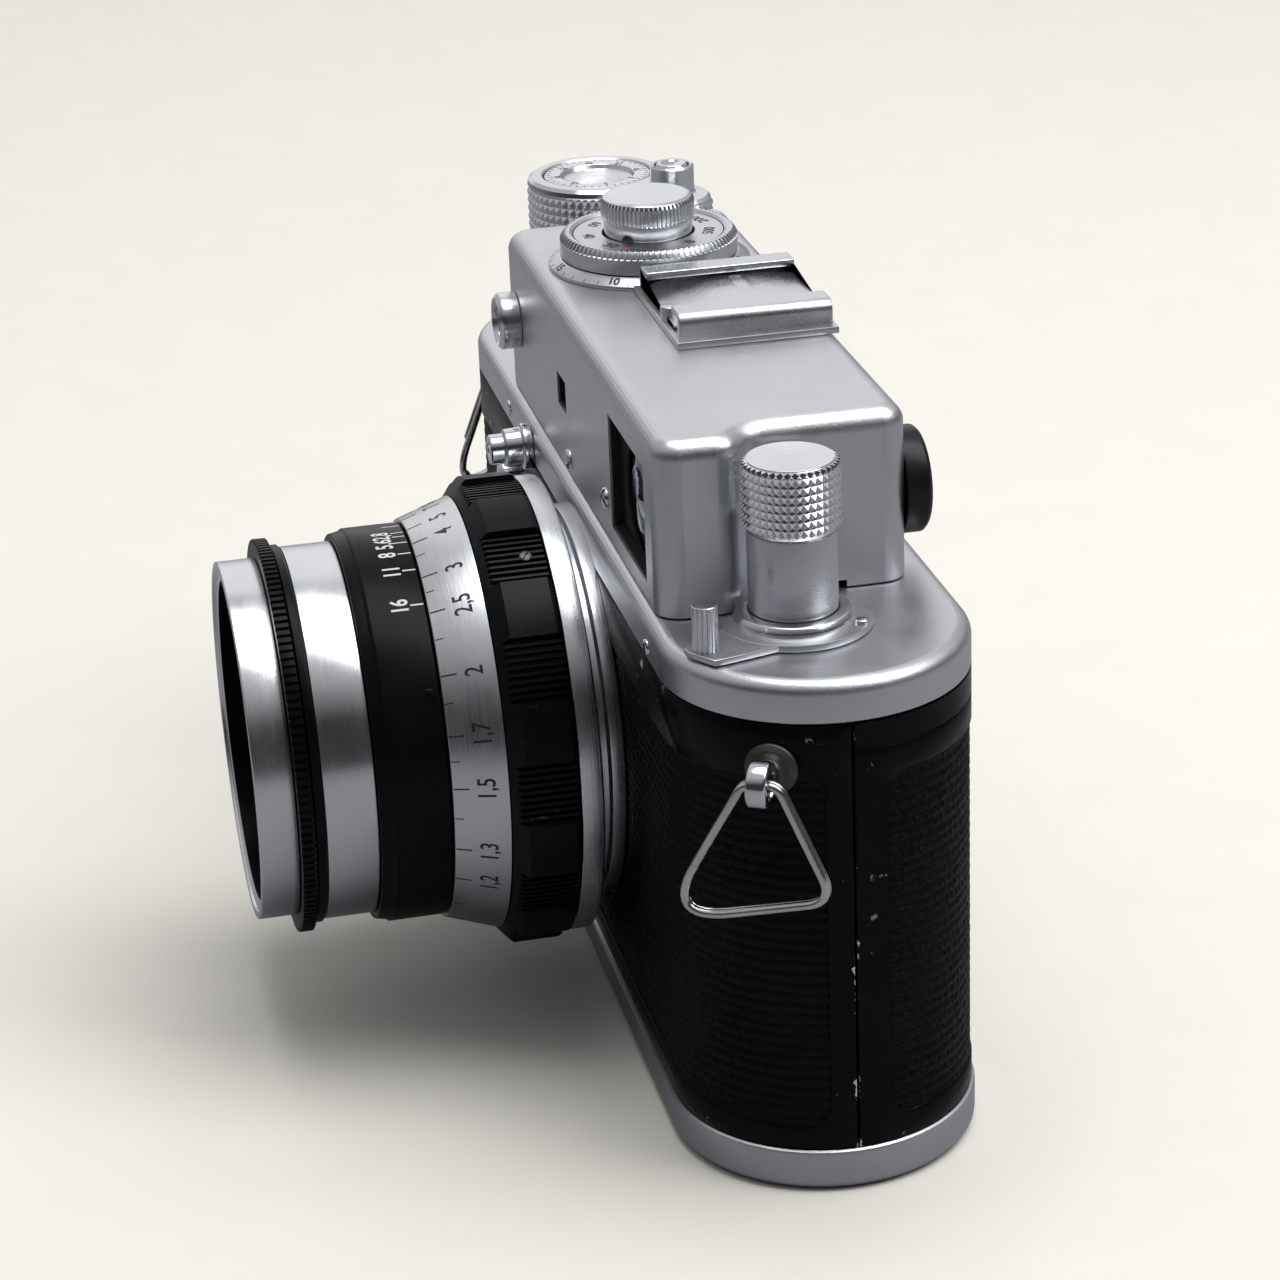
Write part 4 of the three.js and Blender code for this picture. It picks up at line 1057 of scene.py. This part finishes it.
def build_depth_ring():
    back, front = ahead("depth_scale_ring")
    radius = across("depth_scale_ring")
    flange, bore = front - 8.05, 18.2
    lathe("depth_ring", [
        (bore, back), (20.8, back), (20.8, flange), (radius, flange), (radius, front - 1.6),
        (radius - 0.25, front - 1.3), (radius - 0.5, front), (15.6, front), (15.6, front - 3),
        (bore, front - 3)], ANODISED, "barrel", LENS, 256, reach=0.1, replaces=("depth_scale_ring",),
        slot="black_anodised")

    def radius_at(_):
        return radius

    marks = [(mark(0.14, -2.2, -0.1), on_ring(DEPTH_INDEX, flange + 2.3, radius_at))]
    for stop in (2.8, 4, 5.6, 8, 11, 16):
        for side in (-1, 1):
            angle = DEPTH_INDEX + side * DEPTH_STEP * stop
            marks.append((mark(0.1, -1.6, -0.1), on_ring(angle, flange + 1.7, radius_at)))
            if stop == 4 or (stop == 2.8 and side == 1):
                continue
            shift = 0 if stop > 3 else -1.6
            words = text_mesh(str(stop).replace(".", ","), 1.95, 0.06, 0.72)
            marks.append((words, on_ring(angle + shift, flange + 2.75, radius_at)))
    print_marks("depth_numerals", marks, 0.02, WHITE_INK, "barrel", LENS, "black_anodised")
    side_screw("depth_ring_screw", 30, radius - 0.05, flange + 1.2, 0.1, "barrel", ANODISED, 0.5,
               "black_anodised")


def build_barrel():
    back, front = ahead("lens_barrel")
    radius = across("lens_barrel")
    sleeve = ahead("depth_scale_ring")[1] + 0.1
    face = ahead("aperture_ring")[0] - 0.1
    black = face - 1.35
    lathe("barrel_sleeve", [
        (13.5, back), (15.5, back), (15.5, sleeve), (radius, sleeve), (radius, black), (19.8, black),
        (19.8, front), (18.6, front), (18.6, sleeve + 3), (13.5, sleeve + 3)], BRIGHT, "barrel", LENS, 256,
        reach=0.12, replaces=("lens_barrel",), slot="bright_metal")
    lathe("barrel_black_band", [
        (19.82, black + 0.04), (radius - 0.05, black + 0.04), (radius + 0.3, black + 0.3),
        (radius + 0.3, face - 0.2), (radius, face), (19.82, face)], ANODISED, "barrel", LENS, 256,
        reach=0.06, slot="black_anodised")


def build_aperture_ring():
    low, high = ahead("aperture_ring")
    edge = across("aperture_ring")
    lathe("aperture_grip", [(19.95, low), (edge, low), (edge, high), (19.95, high)], ANODISED,
          "aperture_ring", LENS, 150 * 6, teeth(150, 0.35, low - 1, high + 1, edge - 0.4, 0.34),
          reach=0.14, sharp=30, replaces=("aperture_ring",), slot="black_anodised")


def build_filter_cell():
    """A bright rim, with the thread and a stepped funnel inside."""
    low, high = ahead("filter_cell")
    rim = across("filter_cell")
    seat = high - 4.45
    lathe("filter_rim", [
        (rim - 2.2, seat), (rim, seat), (rim, high - 0.1), (rim - 0.1, high), (rim - 0.85, high),
        (rim - 0.95, high - 0.4), (rim - 2.2, high - 0.5)], BRIGHT, "barrel", LENS, 256, reach=0.08,
        slot="bright_metal")
    funnel = [(13.2, low), (14.5, low), (18.5, seat - 2.15), (18.5, seat + 0.01), (rim - 2.25, seat + 0.01),
              (rim - 2.25, high - 0.55), (rim - 0.97, high - 0.5), (rim - 1.0, high - 0.75)]
    for k in range(9):
        r = rim - 1.15 - 0.78 * k
        h = high - 1.0 - 0.95 * k
        funnel += [(r - 0.25, h), (r, h - 0.3), (r, h - 0.62), (r - 0.45, h - 0.8)]
    lathe("filter_thread", funnel + [(13.2, low + 0.9)], ANODISED, "barrel", LENS, 192, reach=0,
          replaces=("filter_cell",), slot="black_anodised", sharp=20)


# ---------------- knobs on the cover

def steps_between(r, low, high, rows):
    return [(r, low + (high - low) * k / rows) for k in range(rows + 1)]


def knurled(foot, side, cap, count, depth):
    """A turned solid whose side is covered with small pyramids. foot and cap are the rest of its profile."""
    profile = foot + side + cap
    size = len(profile)
    verts, faces = [], []
    for j in range(count):
        a = TURN * j / count
        verts += [(r * math.cos(a), r * math.sin(a), h) for r, h in profile]
    for j in range(count):
        after = (j + 1) % count
        for i in range(size - 1):
            quad = (j * size + i, after * size + i, after * size + i + 1, j * size + i + 1)
            if not len(foot) <= i < len(foot) + len(side) - 1:
                faces.append(quad)
                continue
            points = [Vector(verts[k]) for k in quad]
            outwards = (points[1] - points[0]).cross(points[3] - points[0]).normalized()
            verts.append(tuple(sum(points, Vector()) / 4 + outwards * depth))
            faces += [(quad[k], quad[(k + 1) % 4], len(verts) - 1) for k in range(4)]
    return verts, faces


def build_rewind():
    place = above("rewind_spindle")
    low, high = span("rewind_spindle")
    radius = across("rewind_spindle")
    wide = high.z - 10
    lathe("rewind_shaft", [
        (0, low.z + 1.6), (1, low.z + 1.6), (1, low.z), (3.1, low.z), (3.1, wide), (radius, wide),
        (radius, high.z), (3.4, high.z), (3.4, wide + 1.4), (0, wide + 1.4)], SATIN_TURNED,
        "rewind_spindle", place, 128, replaces=("rewind_spindle",), slot="satin_chrome")
    low, high = span("rewind_knob")
    radius = across("rewind_knob")
    start, end = high.z - 7.5, high.z - 0.85
    foot = [(0, low.z), (3.2, low.z), (3.2, start - 0.3), (radius - 0.6, start - 0.3)]
    side = steps_between(radius - 0.42, start, end, 7) + [(4.75, high.z - 0.2)]
    cap = [(4.7, high.z - 0.15), (0, high.z - 0.15)]
    make("rewind_grip", *knurled(foot, side, cap, 40, 0.42), KNURLED, "rewind_knob", place, sharp=20,
         replaces=("rewind_knob",), slot="bright_metal")
    lathe("rewind_knob_top", [
        (0, high.z - 0.4), (4.7, high.z - 0.4), (4.7, high.z - 0.03), (0.3, high.z), (0, high.z - 0.1)],
        BRIGHT, "rewind_knob", place, 96, reach=0.05, slot="bright_metal")


def build_diopter_lever():
    """An eared plate and an arm to a knurled post, under a collar round the rewind shaft."""
    low, high = span("diopter_lever")
    x, y = axis_of("rewind_spindle")
    place = upright(x, y)
    bore = across("rewind_spindle") + 0.15
    hole = drill(x, y, bore, 0, 90)
    plate_top = low.z + 0.75
    ear = arc(0, 0, 8.6, -80, 80, 40) + arc(0, 0, 6.6, 100, 262, 60)
    arm = [(-1, -5), (4.3, -12.4), (5.2, -13.3), (6.3, -13.2), (9.5, -11), (9.3, -9.8), (7.6, -3)]
    collar = turned(soften([(bore - 0.5, low.z), (6.5, low.z), (6.5, low.z + 1), (6.1, low.z + 1.7),
                            (bore + 0.1, low.z + 1.8), (bore - 0.5, low.z + 1.7)], 0.2), 96)
    plate = make("diopter_plate", *extrude(ear, low.z, plate_top), SATIN, "diopter_lever", place,
                 replaces=("diopter_lever",), slot="satin_chrome")
    carve(plate, hole)
    bevel(plate, 0.12)
    bar = make("diopter_arm", *extrude(arm, low.z + 0.03, plate_top - 0.04), SATIN, "diopter_lever", place,
               slot="satin_chrome")
    bevel(bar, 0.12)
    ring = make("diopter_collar", *collar, BRIGHT, "diopter_lever", place, slot="satin_chrome")
    carve(ring, hole)
    lathe("diopter_post", [(0, low.z), (1.4, low.z), (1.4, high.z), (0, high.z)], KNURLED, "diopter_lever",
          upright(60.2, MIDDLE_Y - 13.2), 16 * 6, teeth(16, 0.24, low.z, high.z - 0.35, 1.2), reach=0.16,
          sharp=25, slot="satin_chrome")
    pin = [(0, plate_top - 0.2), (0.75, plate_top - 0.2), (0.75, plate_top + 0.35), (0, plate_top + 0.5)]
    lathe("diopter_pin", pin, CHROME, "diopter_lever", upright(x + 4.2, y + 6.4), 40, slot="satin_chrome")


def build_wind_knob():
    place = above("wind_knob")
    low, high = span("wind_knob")
    radius = across("wind_knob")
    base = SHOULDER_TOP + 0.35
    foot = [(0, low.z), (2.7, low.z), (2.7, base), (radius - 0.9, base), (radius - 0.6, base + 0.25)]
    start, end = base + 0.6, high.z - 1.5
    side = steps_between(radius - 0.42, start, end, round((end - start) / 1.1))
    cap = [(radius - 0.35, end + 0.1), (radius - 0.1, end + 0.5), (radius - 0.25, high.z - 0.45),
           (radius - 0.75, high.z - 0.08), (radius - 1.2, high.z), (7.5, high.z), (7.25, high.z - 0.2),
           (7.25, high.z - 1.6), (0, high.z - 1.6)]
    make("wind_grip", *knurled(foot, side, cap, 56, 0.42), KNURLED, "wind_knob", place, sharp=20,
         replaces=("wind_knob",), slot="satin_chrome")


def build_frame_counter():
    """A dished disc on the wind knob, with a mark for each frame and a numeral at every fifth."""
    place = above("wind_knob")
    low, high = span("frame_counter")
    lathe("counter_disc", [
        (0, low.z), (7.1, low.z), (7.1, high.z - 0.15), (6.9, high.z), (5.2, high.z), (4.9, high.z - 0.1),
        (4.6, high.z - 0.7), (3.4, low.z + 0.45), (2.2, low.z + 0.3), (0, low.z + 0.25)], BRIGHT,
        "frame_counter", place, 128, reach=0.1, replaces=("frame_counter",), slot="polished_chrome")
    marks = []
    for k in range(40):
        long = 0.9 if k % 5 == 0 else 0.5
        marks.append((mark(0.06, -long / 2, long / 2), on_dial(k * 9, 6.35 + (0.9 - long) / 2, high.z)))
    for k in range(8):
        marks.append((text_mesh(str(k * 5), 0.8), on_dial(k * 45, 5.45, high.z)))
    print_marks("counter_scale", marks, 0.015, INK, "frame_counter", place, "polished_chrome")


def build_release():
    place = above("release_collar")
    low, high = span("release_collar")
    radius = across("release_collar")
    step, count = high.z - 3.7, 36
    foot = [(2.3, low.z), (radius - 0.3, low.z)]
    cap = [(radius - 0.35, step - 0.7), (radius - 0.7, step - 0.3), (3.1, step), (2.85, step + 0.2),
           (2.85, high.z - 0.25), (2.6, high.z), (2.3, high.z - 0.1)]
    side = steps_between(radius - 0.35, low.z + 0.3, step - 1.0, 20)
    verts, faces = knurled(foot, side, cap, count, 0.35)
    size = len(foot) + len(side) + len(cap)
    for j in range(count):
        after = (j + 1) % count
        faces.append((j * size, j * size + size - 1, after * size + size - 1, after * size))
    make("release_sleeve", verts, faces, KNURLED, "release_collar", place, sharp=25,
         replaces=("release_collar",), slot="polished_chrome")
    low, high = span("release_button")
    lathe("release_plunger", [
        (0, low.z), (2.1, low.z), (2.1, high.z - 0.4), (1.85, high.z - 0.05), (1.5, high.z),
        (1.1, high.z - 0.25), (0.5, high.z - 0.5), (0, high.z - 0.55)], CHROME, "release_button", place,
        64, reach=0.08, replaces=("release_button",), slot="polished_chrome")


def build_sync_dial():
    """A conical flange with a scale, and the toothed wheel that turns above it."""
    place = above("speed_spindle")
    low, high = span("sync_scale_plate")
    outer = across("sync_scale_plate")
    ring_foot = span("sync_ring")[0].z + 0.6
    foot, rim = (outer, low.z + 0.4), (across("sync_ring") + 0.1, ring_foot - 0.1)
    lathe("sync_flange", [(3, low.z), (outer, low.z), foot, rim, (9.5, rim[1]), (9.5, high.z), (3, high.z)],
          SATIN_TURNED, "camera_body", place, 160, replaces=("sync_scale_plate",), slot="satin_chrome")
    marks = []
    for value in range(26):
        flat = mark(0.05, -0.7, -0.2) if value % 5 else text_mesh(str(value), 1.05, 0.05)
        marks.append((flat, on_skirt(-34 - (value - 10) * 9.5, foot, rim)))
    print_marks("sync_flange_scale", marks, 0.015, INK, "camera_body", place, "satin_chrome")
    low, high = span("sync_ring")
    outer = across("sync_ring")
    lathe("sync_wheel", [
        (9.3, ring_foot), (outer, ring_foot), (outer, high.z - 1.0), (outer, high.z - 0.8),
        (outer - 0.3, high.z - 0.3), (outer - 0.55, high.z), (9.7, high.z), (9.3, high.z - 0.3)],
        SATIN_TURNED, "sync_ring", place, 90 * 6, teeth(90, 0.28, high.z - 0.9, high.z + 1, 10), reach=0.05,
        sharp=25, replaces=("sync_ring",), slot="satin_chrome")


def build_speed_disc():
    """The engraved disc inside the wheel, on its spindle."""
    place = above("speed_spindle")
    low, high = span("speed_spindle")
    disc, hub = across("speed_spindle"), 5.7
    under, hollow = 81.6, 82.4
    top = span("sync_ring")[1].z - 0.3
    lathe("speed_disc", [
        (0, low.z), (2.8, low.z), (2.8, under), (disc, under), (disc, top), (hub, top), (hub, hollow),
        (2, hollow), (2, high.z), (0, high.z)], SATIN_TURNED, "speed_spindle", place, 128, reach=0.1,
        replaces=("speed_spindle",), slot="satin_chrome")
    marks = []
    for k, words in enumerate(("30", "40", "60", "75", "100", "200", "500", "B")):
        marks.append((text_mesh(words, 1.35, 0.02), on_dial(-50 - 40 * k, 7.5, top)))
    print_marks("speed_figures", marks, 0.02, INK, "speed_spindle", place, "satin_chrome")
    index = [(mark(0.16, -0.7, 0.7), on_dial(-32, 8.2, top))]
    print_marks("speed_index", index, 0.03, RED_INK, "speed_spindle", place, "satin_chrome")


def build_speed_knob():
    """A smooth neck with a set screw's hole, and a toothed head."""
    place = above("speed_spindle")
    low, high = span("speed_knob")
    radius, neck = across("speed_knob"), across("speed_knob") - 0.35
    grip, bore = high.z - 2.9, 2.1
    knob = lathe("speed_neck", [
        (bore, low.z), (neck, low.z), (neck, grip + 0.05), (bore, grip + 0.05)], BRIGHT, "speed_knob",
        place, 96, reach=0.08, slot="bright_metal")
    aim = Matrix.Rotation(math.radians(-40), 4, "Z") @ Matrix.Rotation(math.pi / 2, 4, "Y")
    hole_at = upright(*axis_of("speed_spindle"), low.z + 2.1)
    carve(knob, (*extrude(circle(0.85, 32), 3.4, 7), hole_at @ aim))
    lathe("speed_head", [
        (bore, grip), (radius - 0.2, grip), (radius, grip + 0.2), (radius, high.z - 0.75),
        (radius - 0.35, high.z - 0.25), (radius - 0.8, high.z - 0.05), (0.4, high.z), (0, high.z - 0.08),
        (0, high.z - 2.1), (bore, high.z - 2.1)], BRIGHT, "speed_knob", place, 62 * 6,
        teeth(62, 0.26, grip + 0.1, high.z - 0.7, radius - 0.3), reach=0.05, sharp=25,
        replaces=("speed_knob",), slot="bright_metal")


# ---------------- accessory shoe

def build_shoe():
    low, high = span("accessory_shoe")
    middle = (low.x + high.x) / 2
    floor = low.z + 0.83
    channel, opening, outside, crown = 9.45, 6.5, 10.65, 1.3
    ceiling, foot = high.z - 0.9, floor - 0.4
    right_side = arc(outside - crown, high.z - crown, crown, 90, 0, 8)
    left_side = arc(crown - outside, high.z - crown, crown, 180, 90, 8)
    section = [(-opening, high.z), (-opening, ceiling), (-channel, ceiling), (-channel, floor),
               (channel, floor), (channel, ceiling), (opening, ceiling), (opening, high.z), *right_side,
               (outside, foot), (-outside, foot), *left_side]
    levels = [[(middle + x, y, z) for x, z in section] for y in (low.y + 0.7, high.y - 0.15)]
    rails = make("shoe_rails", *loft(levels), RAIL, "camera_body", replaces=("accessory_shoe",),
                 slot="bright_metal")
    bevel(rails, 0.2, 3)
    lathe("shoe_pin", [(0, floor - 0.1), (1.0, floor - 0.1), (1.0, 83.2), (0, 83.3)], RAIL, "camera_body",
          upright(10.2, MIDDLE_Y - 4.9), 48, slot="bright_metal")
    outline = [(low.x, low.y), (high.x, low.y), (high.x, high.y), (low.x, high.y)]
    plate = make("shoe_plate", *extrude(outline, low.z, floor - 0.05), SATIN, "camera_body",
                 slot="bright_metal")
    carve(plate, drill(*axis_of("speed_spindle"), 12.6, 80, 90))
    bevel(plate, 0.12)
    for i, (x, y) in enumerate(((2.0, -3.2), (11.5, -3.2), (2.0, 10.2), (11.5, 10.2))):
        screw(f"shoe_screw_{i + 1}", upright(x, MIDDLE_Y + y, floor), 1.0, 0.25, "camera_body", slot_turn=i)
    build_shoe_spring(middle, floor, low.y + 0.8, high.y - 0.25)


def build_shoe_spring(middle, floor, front, back):
    """A bowed leaf that starts on the floor of the shoe."""
    levels = []
    steps, thickness = 24, 0.35
    for k in range(steps + 1):
        t = k / steps
        y = front + (back - front) * t
        low = floor + 0.05 + math.sin(0.85 * math.pi * t)
        high = low + thickness
        half = 9.0 * min(1, 0.85 + 2 * t)
        left, right = middle - half, middle + half
        levels.append([(left, y, high), (right, y, high), (right, y, low), (left, y, low)])
    leaf = make("shoe_leaf", *loft(levels), RAIL, "camera_body", replaces=("shoe_spring",), slot="steel")
    bevel(leaf, 0.1)


# ---------------- windows and front controls

def window_liner(name, window, depth=1.6):
    """A black box sunk into a window of the housing, open in front."""
    rim, gap = 0.35, 0.02
    left, right = window["left"] + gap, window["right"] - gap
    low, high = window["low"] + gap, window["high"] - gap
    front, back = HOUSING_FRONT_Y + 0.25, HOUSING_FRONT_Y + depth
    box = [(left, front), (right, front), (right, back), (left, back)]
    liner = make(name, *extrude(box, low, high), CASTING, "camera_body", slot="black_plastic")
    carve(liner, box_cutter(left + rim, right - rim, front - 1, back - rim, low + rim, high - rim))
    return liner


def build_windows():
    liner = window_liner("finder_recess", FINDER_WINDOW)
    lens = centre("finder_front_lens")
    carve(liner, drill_front(lens.x, lens.z, across("finder_front_lens") + 0.1, 10, 20))
    window_liner("flash_recess", FLASH_WINDOW)


def build_rangefinder_window():
    window = centre("rangefinder_window")
    radius = across("rangefinder_window")
    reach = HOUSING_FRONT_Y - span("rangefinder_window")[0].y
    place = facing_front(window.x, window.z, HOUSING_FRONT_Y)
    lathe("rangefinder_tube", [
        (2.6, -1.4), (2.75, -1.4), (2.75, 0.05), (radius, 0.05), (radius, reach - 0.5),
        (radius - 0.6, reach), (3, reach), (2.6, reach - 0.6)], BRIGHT, "camera_body", place, 96,
        replaces=("rangefinder_window",), slot="bright_metal")
    lathe("rangefinder_glass", [(0, 0.3), (2.62, 0.3), (2.62, 0.8), (1.5, 1.15), (0, 1.3)], FINDER_GLASS,
          "camera_body", place, 64, reach=0.1, slot="glass")


def build_eyepiece():
    eye = centre("eyepiece_ring")
    radius = across("eyepiece_ring")
    reach = span("eyepiece_ring")[1].y - HOUSING_BACK_Y
    place = facing_rear(eye.x, eye.z, HOUSING_BACK_Y)
    grooves = teeth(36, 0.15, 0.6, reach - 0.7, radius - 0.2)
    lathe("eyepiece_mount", [
        (3.5, -1), (4.3, -1), (4.3, 0.05), (radius, 0.05), (radius, reach - 0.5), (radius - 0.5, reach),
        (4.4, reach), (3.5, reach - 0.8)], PLASTIC, "camera_body", place, 12 * 24, grooves,
        replaces=("eyepiece_ring",), slot="black_plastic")


def build_flash_socket():
    socket = centre("sync_socket")
    place = facing_front(socket.x, socket.z, FRONT_LOW.y)
    lathe("flash_socket", [
        (1, 0.05), (2.9, 0.05), (2.9, 1.1), (2.5, 1.3), (2.4, 3.3), (1.9, 3.5), (1.9, 5.1), (1.75, 5.3),
        (1, 5.3)], CHROME, "camera_body", place, 72, replaces=("sync_socket",), slot="polished_chrome")
    lathe("flash_socket_core", [(0, 2), (1.02, 2), (1.02, 4.6), (0.35, 4.6), (0.3, 4.9), (0, 5)], PLASTIC,
          "camera_body", place, 48, reach=0.05, slot="black_plastic")


def build_self_timer():
    """A boss with a tapered arm that hangs down from it, and the button beside it."""
    pivot = span("self_timer_lever")[1].z - 4.4
    place = facing_front(centre("self_timer_lever").x, pivot, FRONT_LOW.y)
    lathe("timer_boss", [(0, 0.15), (4.4, 0.15), (4.4, 3.2), (3.7, 3.9), (0, 4.1)], BRIGHT,
          "self_timer_lever", place, 96, replaces=("self_timer_lever",), slot="bright_metal")
    outline = [(-3, 0), (-2.1, -15), *arc(0, -15, 2.1, 180, 360, 16)[1:], (3, 0)]
    arm = make("timer_arm", *extrude(outline, 1.4, 3.2), BRIGHT, "self_timer_lever", place,
               slot="bright_metal")
    bevel(arm, 0.4, 4)
    button = centre("self_timer_button")
    radius = across("self_timer_button")
    lathe("timer_button", [(0, -0.5), (radius, -0.5), (radius, 2.1), (radius - 0.4, 2.5), (0, 2.4)], CHROME,
          "self_timer_button", facing_front(button.x, button.z, FRONT_LOW.y), 64,
          replaces=("self_timer_button",), slot="bright_metal")


# ---------------- strap lugs and rings

def sweep(points, radius, sides=14):
    """A round wire along an open path, with rounded ends."""
    points = [Vector(p) for p in points]
    normal = Vector((0, 0, 1))
    levels = []
    last = len(points) - 1
    for i, p in enumerate(points):
        along = (points[min(i + 1, last)] - points[max(i - 1, 0)]).normalized()
        normal = (normal - along * normal.dot(along)).normalized()
        side = along.cross(normal)
        angles = [TURN * k / sides for k in range(sides)]
        levels.append([p + (normal * math.cos(a) + side * math.sin(a)) * radius for a in angles])
    first = shrunk_end(levels[0], points[0], points[1], radius)
    final = shrunk_end(levels[-1], points[-1], points[-2], radius)
    return loft([first, *levels, final])


def shrunk_end(level, end, neighbour, radius, share=0.6):
    """A smaller loop beyond the end of a wire, which rounds it."""
    out = (end - neighbour).normalized() * radius * share
    return [end + (q - end) * share + out for q in level]


RING_CORNERS = [(2, -0.6), (12.0, 17.6), (-8.3, 13), (-2, -0.6)]
RING_REACHES = [1.2, 9.0, 3.6, 1.2]


def ring_path(flip):
    """The middle line of the ring's wire: (forwards, down) from the lug's eye."""
    corners = [Vector(c) for c in RING_CORNERS]
    path = []
    for i, corner in enumerate(corners):
        before = corner + (corners[i - 1] - corner).normalized() * RING_REACHES[i]
        after = corner + (corners[(i + 1) % 4] - corner).normalized() * RING_REACHES[i]
        path += [(point.x * flip, point.y) for point in rounded_corner(before, corner, after, 12)]
    return path


def lug_place(side, sign):
    """Local Z points out of the body's end at the ring's joint, and local Y points down."""
    joint = next(j for j in frame["joints"] if j["name"] == f"strap_ring_{side}_swing")
    down = Vector((0, 0, -1))
    out = down.cross(Vector(joint["axis"]).normalized()) * -sign
    if out.x * sign < 0:
        out.negate()
    place = Matrix((down.cross(out), down, out)).transposed().to_4x4()
    place.translation = Vector(joint["pos_m"])
    return place


def build_lug(side, place):
    foot = -4.25
    lathe("strap_foot_" + side, [
        (0, foot), (2.9, foot), (2.9, foot + 0.45), (2.2, foot + 0.95), (1.5, foot + 1.1),
        (1.2, foot + 1.55), (1.2, foot + 2.95), (0, foot + 2.95)], FOOT, "camera_body", place, 64,
        replaces=("strap_lug_" + side,), slot="polished_chrome")
    eye = turned(soften([(1.5, -1.1), (2.6, -1.1), (2.6, 1.1), (1.5, 1.1)], 0.4, 4), 64)
    make("strap_eye_" + side, *eye, CHROME, "camera_body", place @ Matrix.Rotation(math.pi / 2, 4, "Y"),
         slot="polished_chrome")


WIRE_RADIUS = 0.5
WIRE_PITCH = 0.96
WIRE_START = 18


def build_strap_ring(side, place):
    """A split ring of wire, wound nearly twice round a triangle."""
    flip = 1 if place.col[0].y < 0 else -1
    path = ring_path(flip)
    total = 2 * len(path) - 4
    middle = Vector((sum(x for x, _ in path) / len(path), 8))
    turns = []
    for k in range(total):
        point = Vector(path[(WIRE_START + k) % len(path)])
        point += (middle - point).normalized() * 0.55
        turns.append((point.x, point.y, WIRE_PITCH * (k / (total - 1) - 0.5)))
    make("strap_wire_" + side, *sweep(turns, WIRE_RADIUS), WIRE, "strap_ring_" + side, place, sharp=50,
         replaces=("strap_ring_" + side,), slot="polished_chrome")


def build_strap(side, sign):
    place = lug_place(side, sign)
    build_lug(side, place)
    build_strap_ring(side, place)


# ---------------- stage, light and camera

def stage():
    """A pale floor. Metal reflects a darker card that lies on it."""
    data = bpy.data.meshes.new("floor")
    half = 3.0
    corners = [(-half, -half, 0), (half, -half, 0), (half, half, 0), (-half, half, 0)]
    data.from_pydata(corners, [], [(0, 1, 2, 3)])
    floor = show(bpy.data.objects.new("floor", data))
    card = show(bpy.data.objects.new("reflected_floor", data.copy()))
    paper = surface("paper", (0.86, 0.835, 0.775), 0, 0.75, spread=0.05, tint=0.005, grain=1200,
                    relief=0.05)
    grey = surface("grey_card", (0.27, 0.27, 0.28), 0, 0.8, tint=0.02, grain=1200, relief=0.05)
    floor.data.materials.append(paper)
    card.data.materials.append(grey)
    card.location.z = 0.02 * MM
    card.visible_camera = False
    card.visible_diffuse = False
    card.visible_shadow = False


def area_light(name, place, target, size, power):
    data = bpy.data.lights.new(name, "AREA")
    data.shape = "RECTANGLE"
    data.size, data.size_y = size
    data.energy = power
    lamp = show(bpy.data.objects.new(name, data))
    lamp.location = place
    lamp.rotation_euler = (Vector(target) - Vector(place)).to_track_quat("-Z", "Y").to_euler()


def light():
    area_light("key", (0.2, 0.4, 1.15), (0, 0.1, 0), (0.7, 1.7), 15.5)
    area_light("backdrop", (-1.3, 0.1, 0.62), (0, 0, 0.06), (1.0, 1.6), 2.2)
    world = bpy.data.worlds.new("studio")
    bpy.context.scene.world = world
    world.use_nodes = True
    tree = world.node_tree
    where = node(tree, "ShaderNodeTexCoord").outputs["Generated"]
    lean = node(tree, "ShaderNodeVectorMath", {0: where, 1: (-0.45, 0, 1)}, operation="DOT_PRODUCT")
    rise = ranged(tree, lean.outputs["Value"], 0.1, 0.7, 0, 1)
    sky = mixed(tree, rise, (0.075, 0.07, 0.075), (1.0, 1.0, 1.0))
    fill(tree, tree.nodes["Background"], {"Color": sky, "Strength": 0.5})
    bpy.context.scene.view_settings.view_transform = "Standard"


CAMERA_AT = (0.3836, -0.065775, 0.2034)
CAMERA_YAW, CAMERA_PITCH, CAMERA_ROLL = 12.31, 23.12, -2.108
CAMERA_LENS = 96.98
CAMERA_SHIFT = (-0.0306, 0.0058)


def aim_camera():
    data = bpy.data.cameras.new("view")
    data.sensor_width = 36
    data.lens = CAMERA_LENS
    data.shift_x, data.shift_y = CAMERA_SHIFT
    camera = show(bpy.data.objects.new("view", data))
    yaw, pitch, roll = (math.radians(v) for v in (CAMERA_YAW, CAMERA_PITCH, CAMERA_ROLL))
    ahead_of = Vector((-math.cos(yaw) * math.cos(pitch), math.sin(yaw) * math.cos(pitch), -math.sin(pitch)))
    right = ahead_of.cross(Vector((0, 0, 1))).normalized()
    up = right.cross(ahead_of)
    turned_right = right * math.cos(roll) + up * math.sin(roll)
    turned_up = up * math.cos(roll) - right * math.sin(roll)
    axes = Matrix((turned_right, turned_up, -ahead_of)).transposed().to_4x4()
    axes.translation = Vector(CAMERA_AT)
    camera.matrix_world = axes
    bpy.context.scene.camera = camera


dress_kept_nodes()
build_front()
build_back()
build_base()
build_cover()
build_housing()
build_body_screws()
build_mount()
build_focus_grip()
build_distance_ring()
build_depth_ring()
build_barrel()
build_aperture_ring()
build_filter_cell()
build_rewind()
build_diopter_lever()
build_wind_knob()
build_frame_counter()
build_release()
build_sync_dial()
build_speed_disc()
build_speed_knob()
build_shoe()
build_windows()
build_rangefinder_window()
build_eyepiece()
build_flash_socket()
build_self_timer()
build_strap("right", 1)
build_strap("left", -1)
stage()
light()
aim_camera()
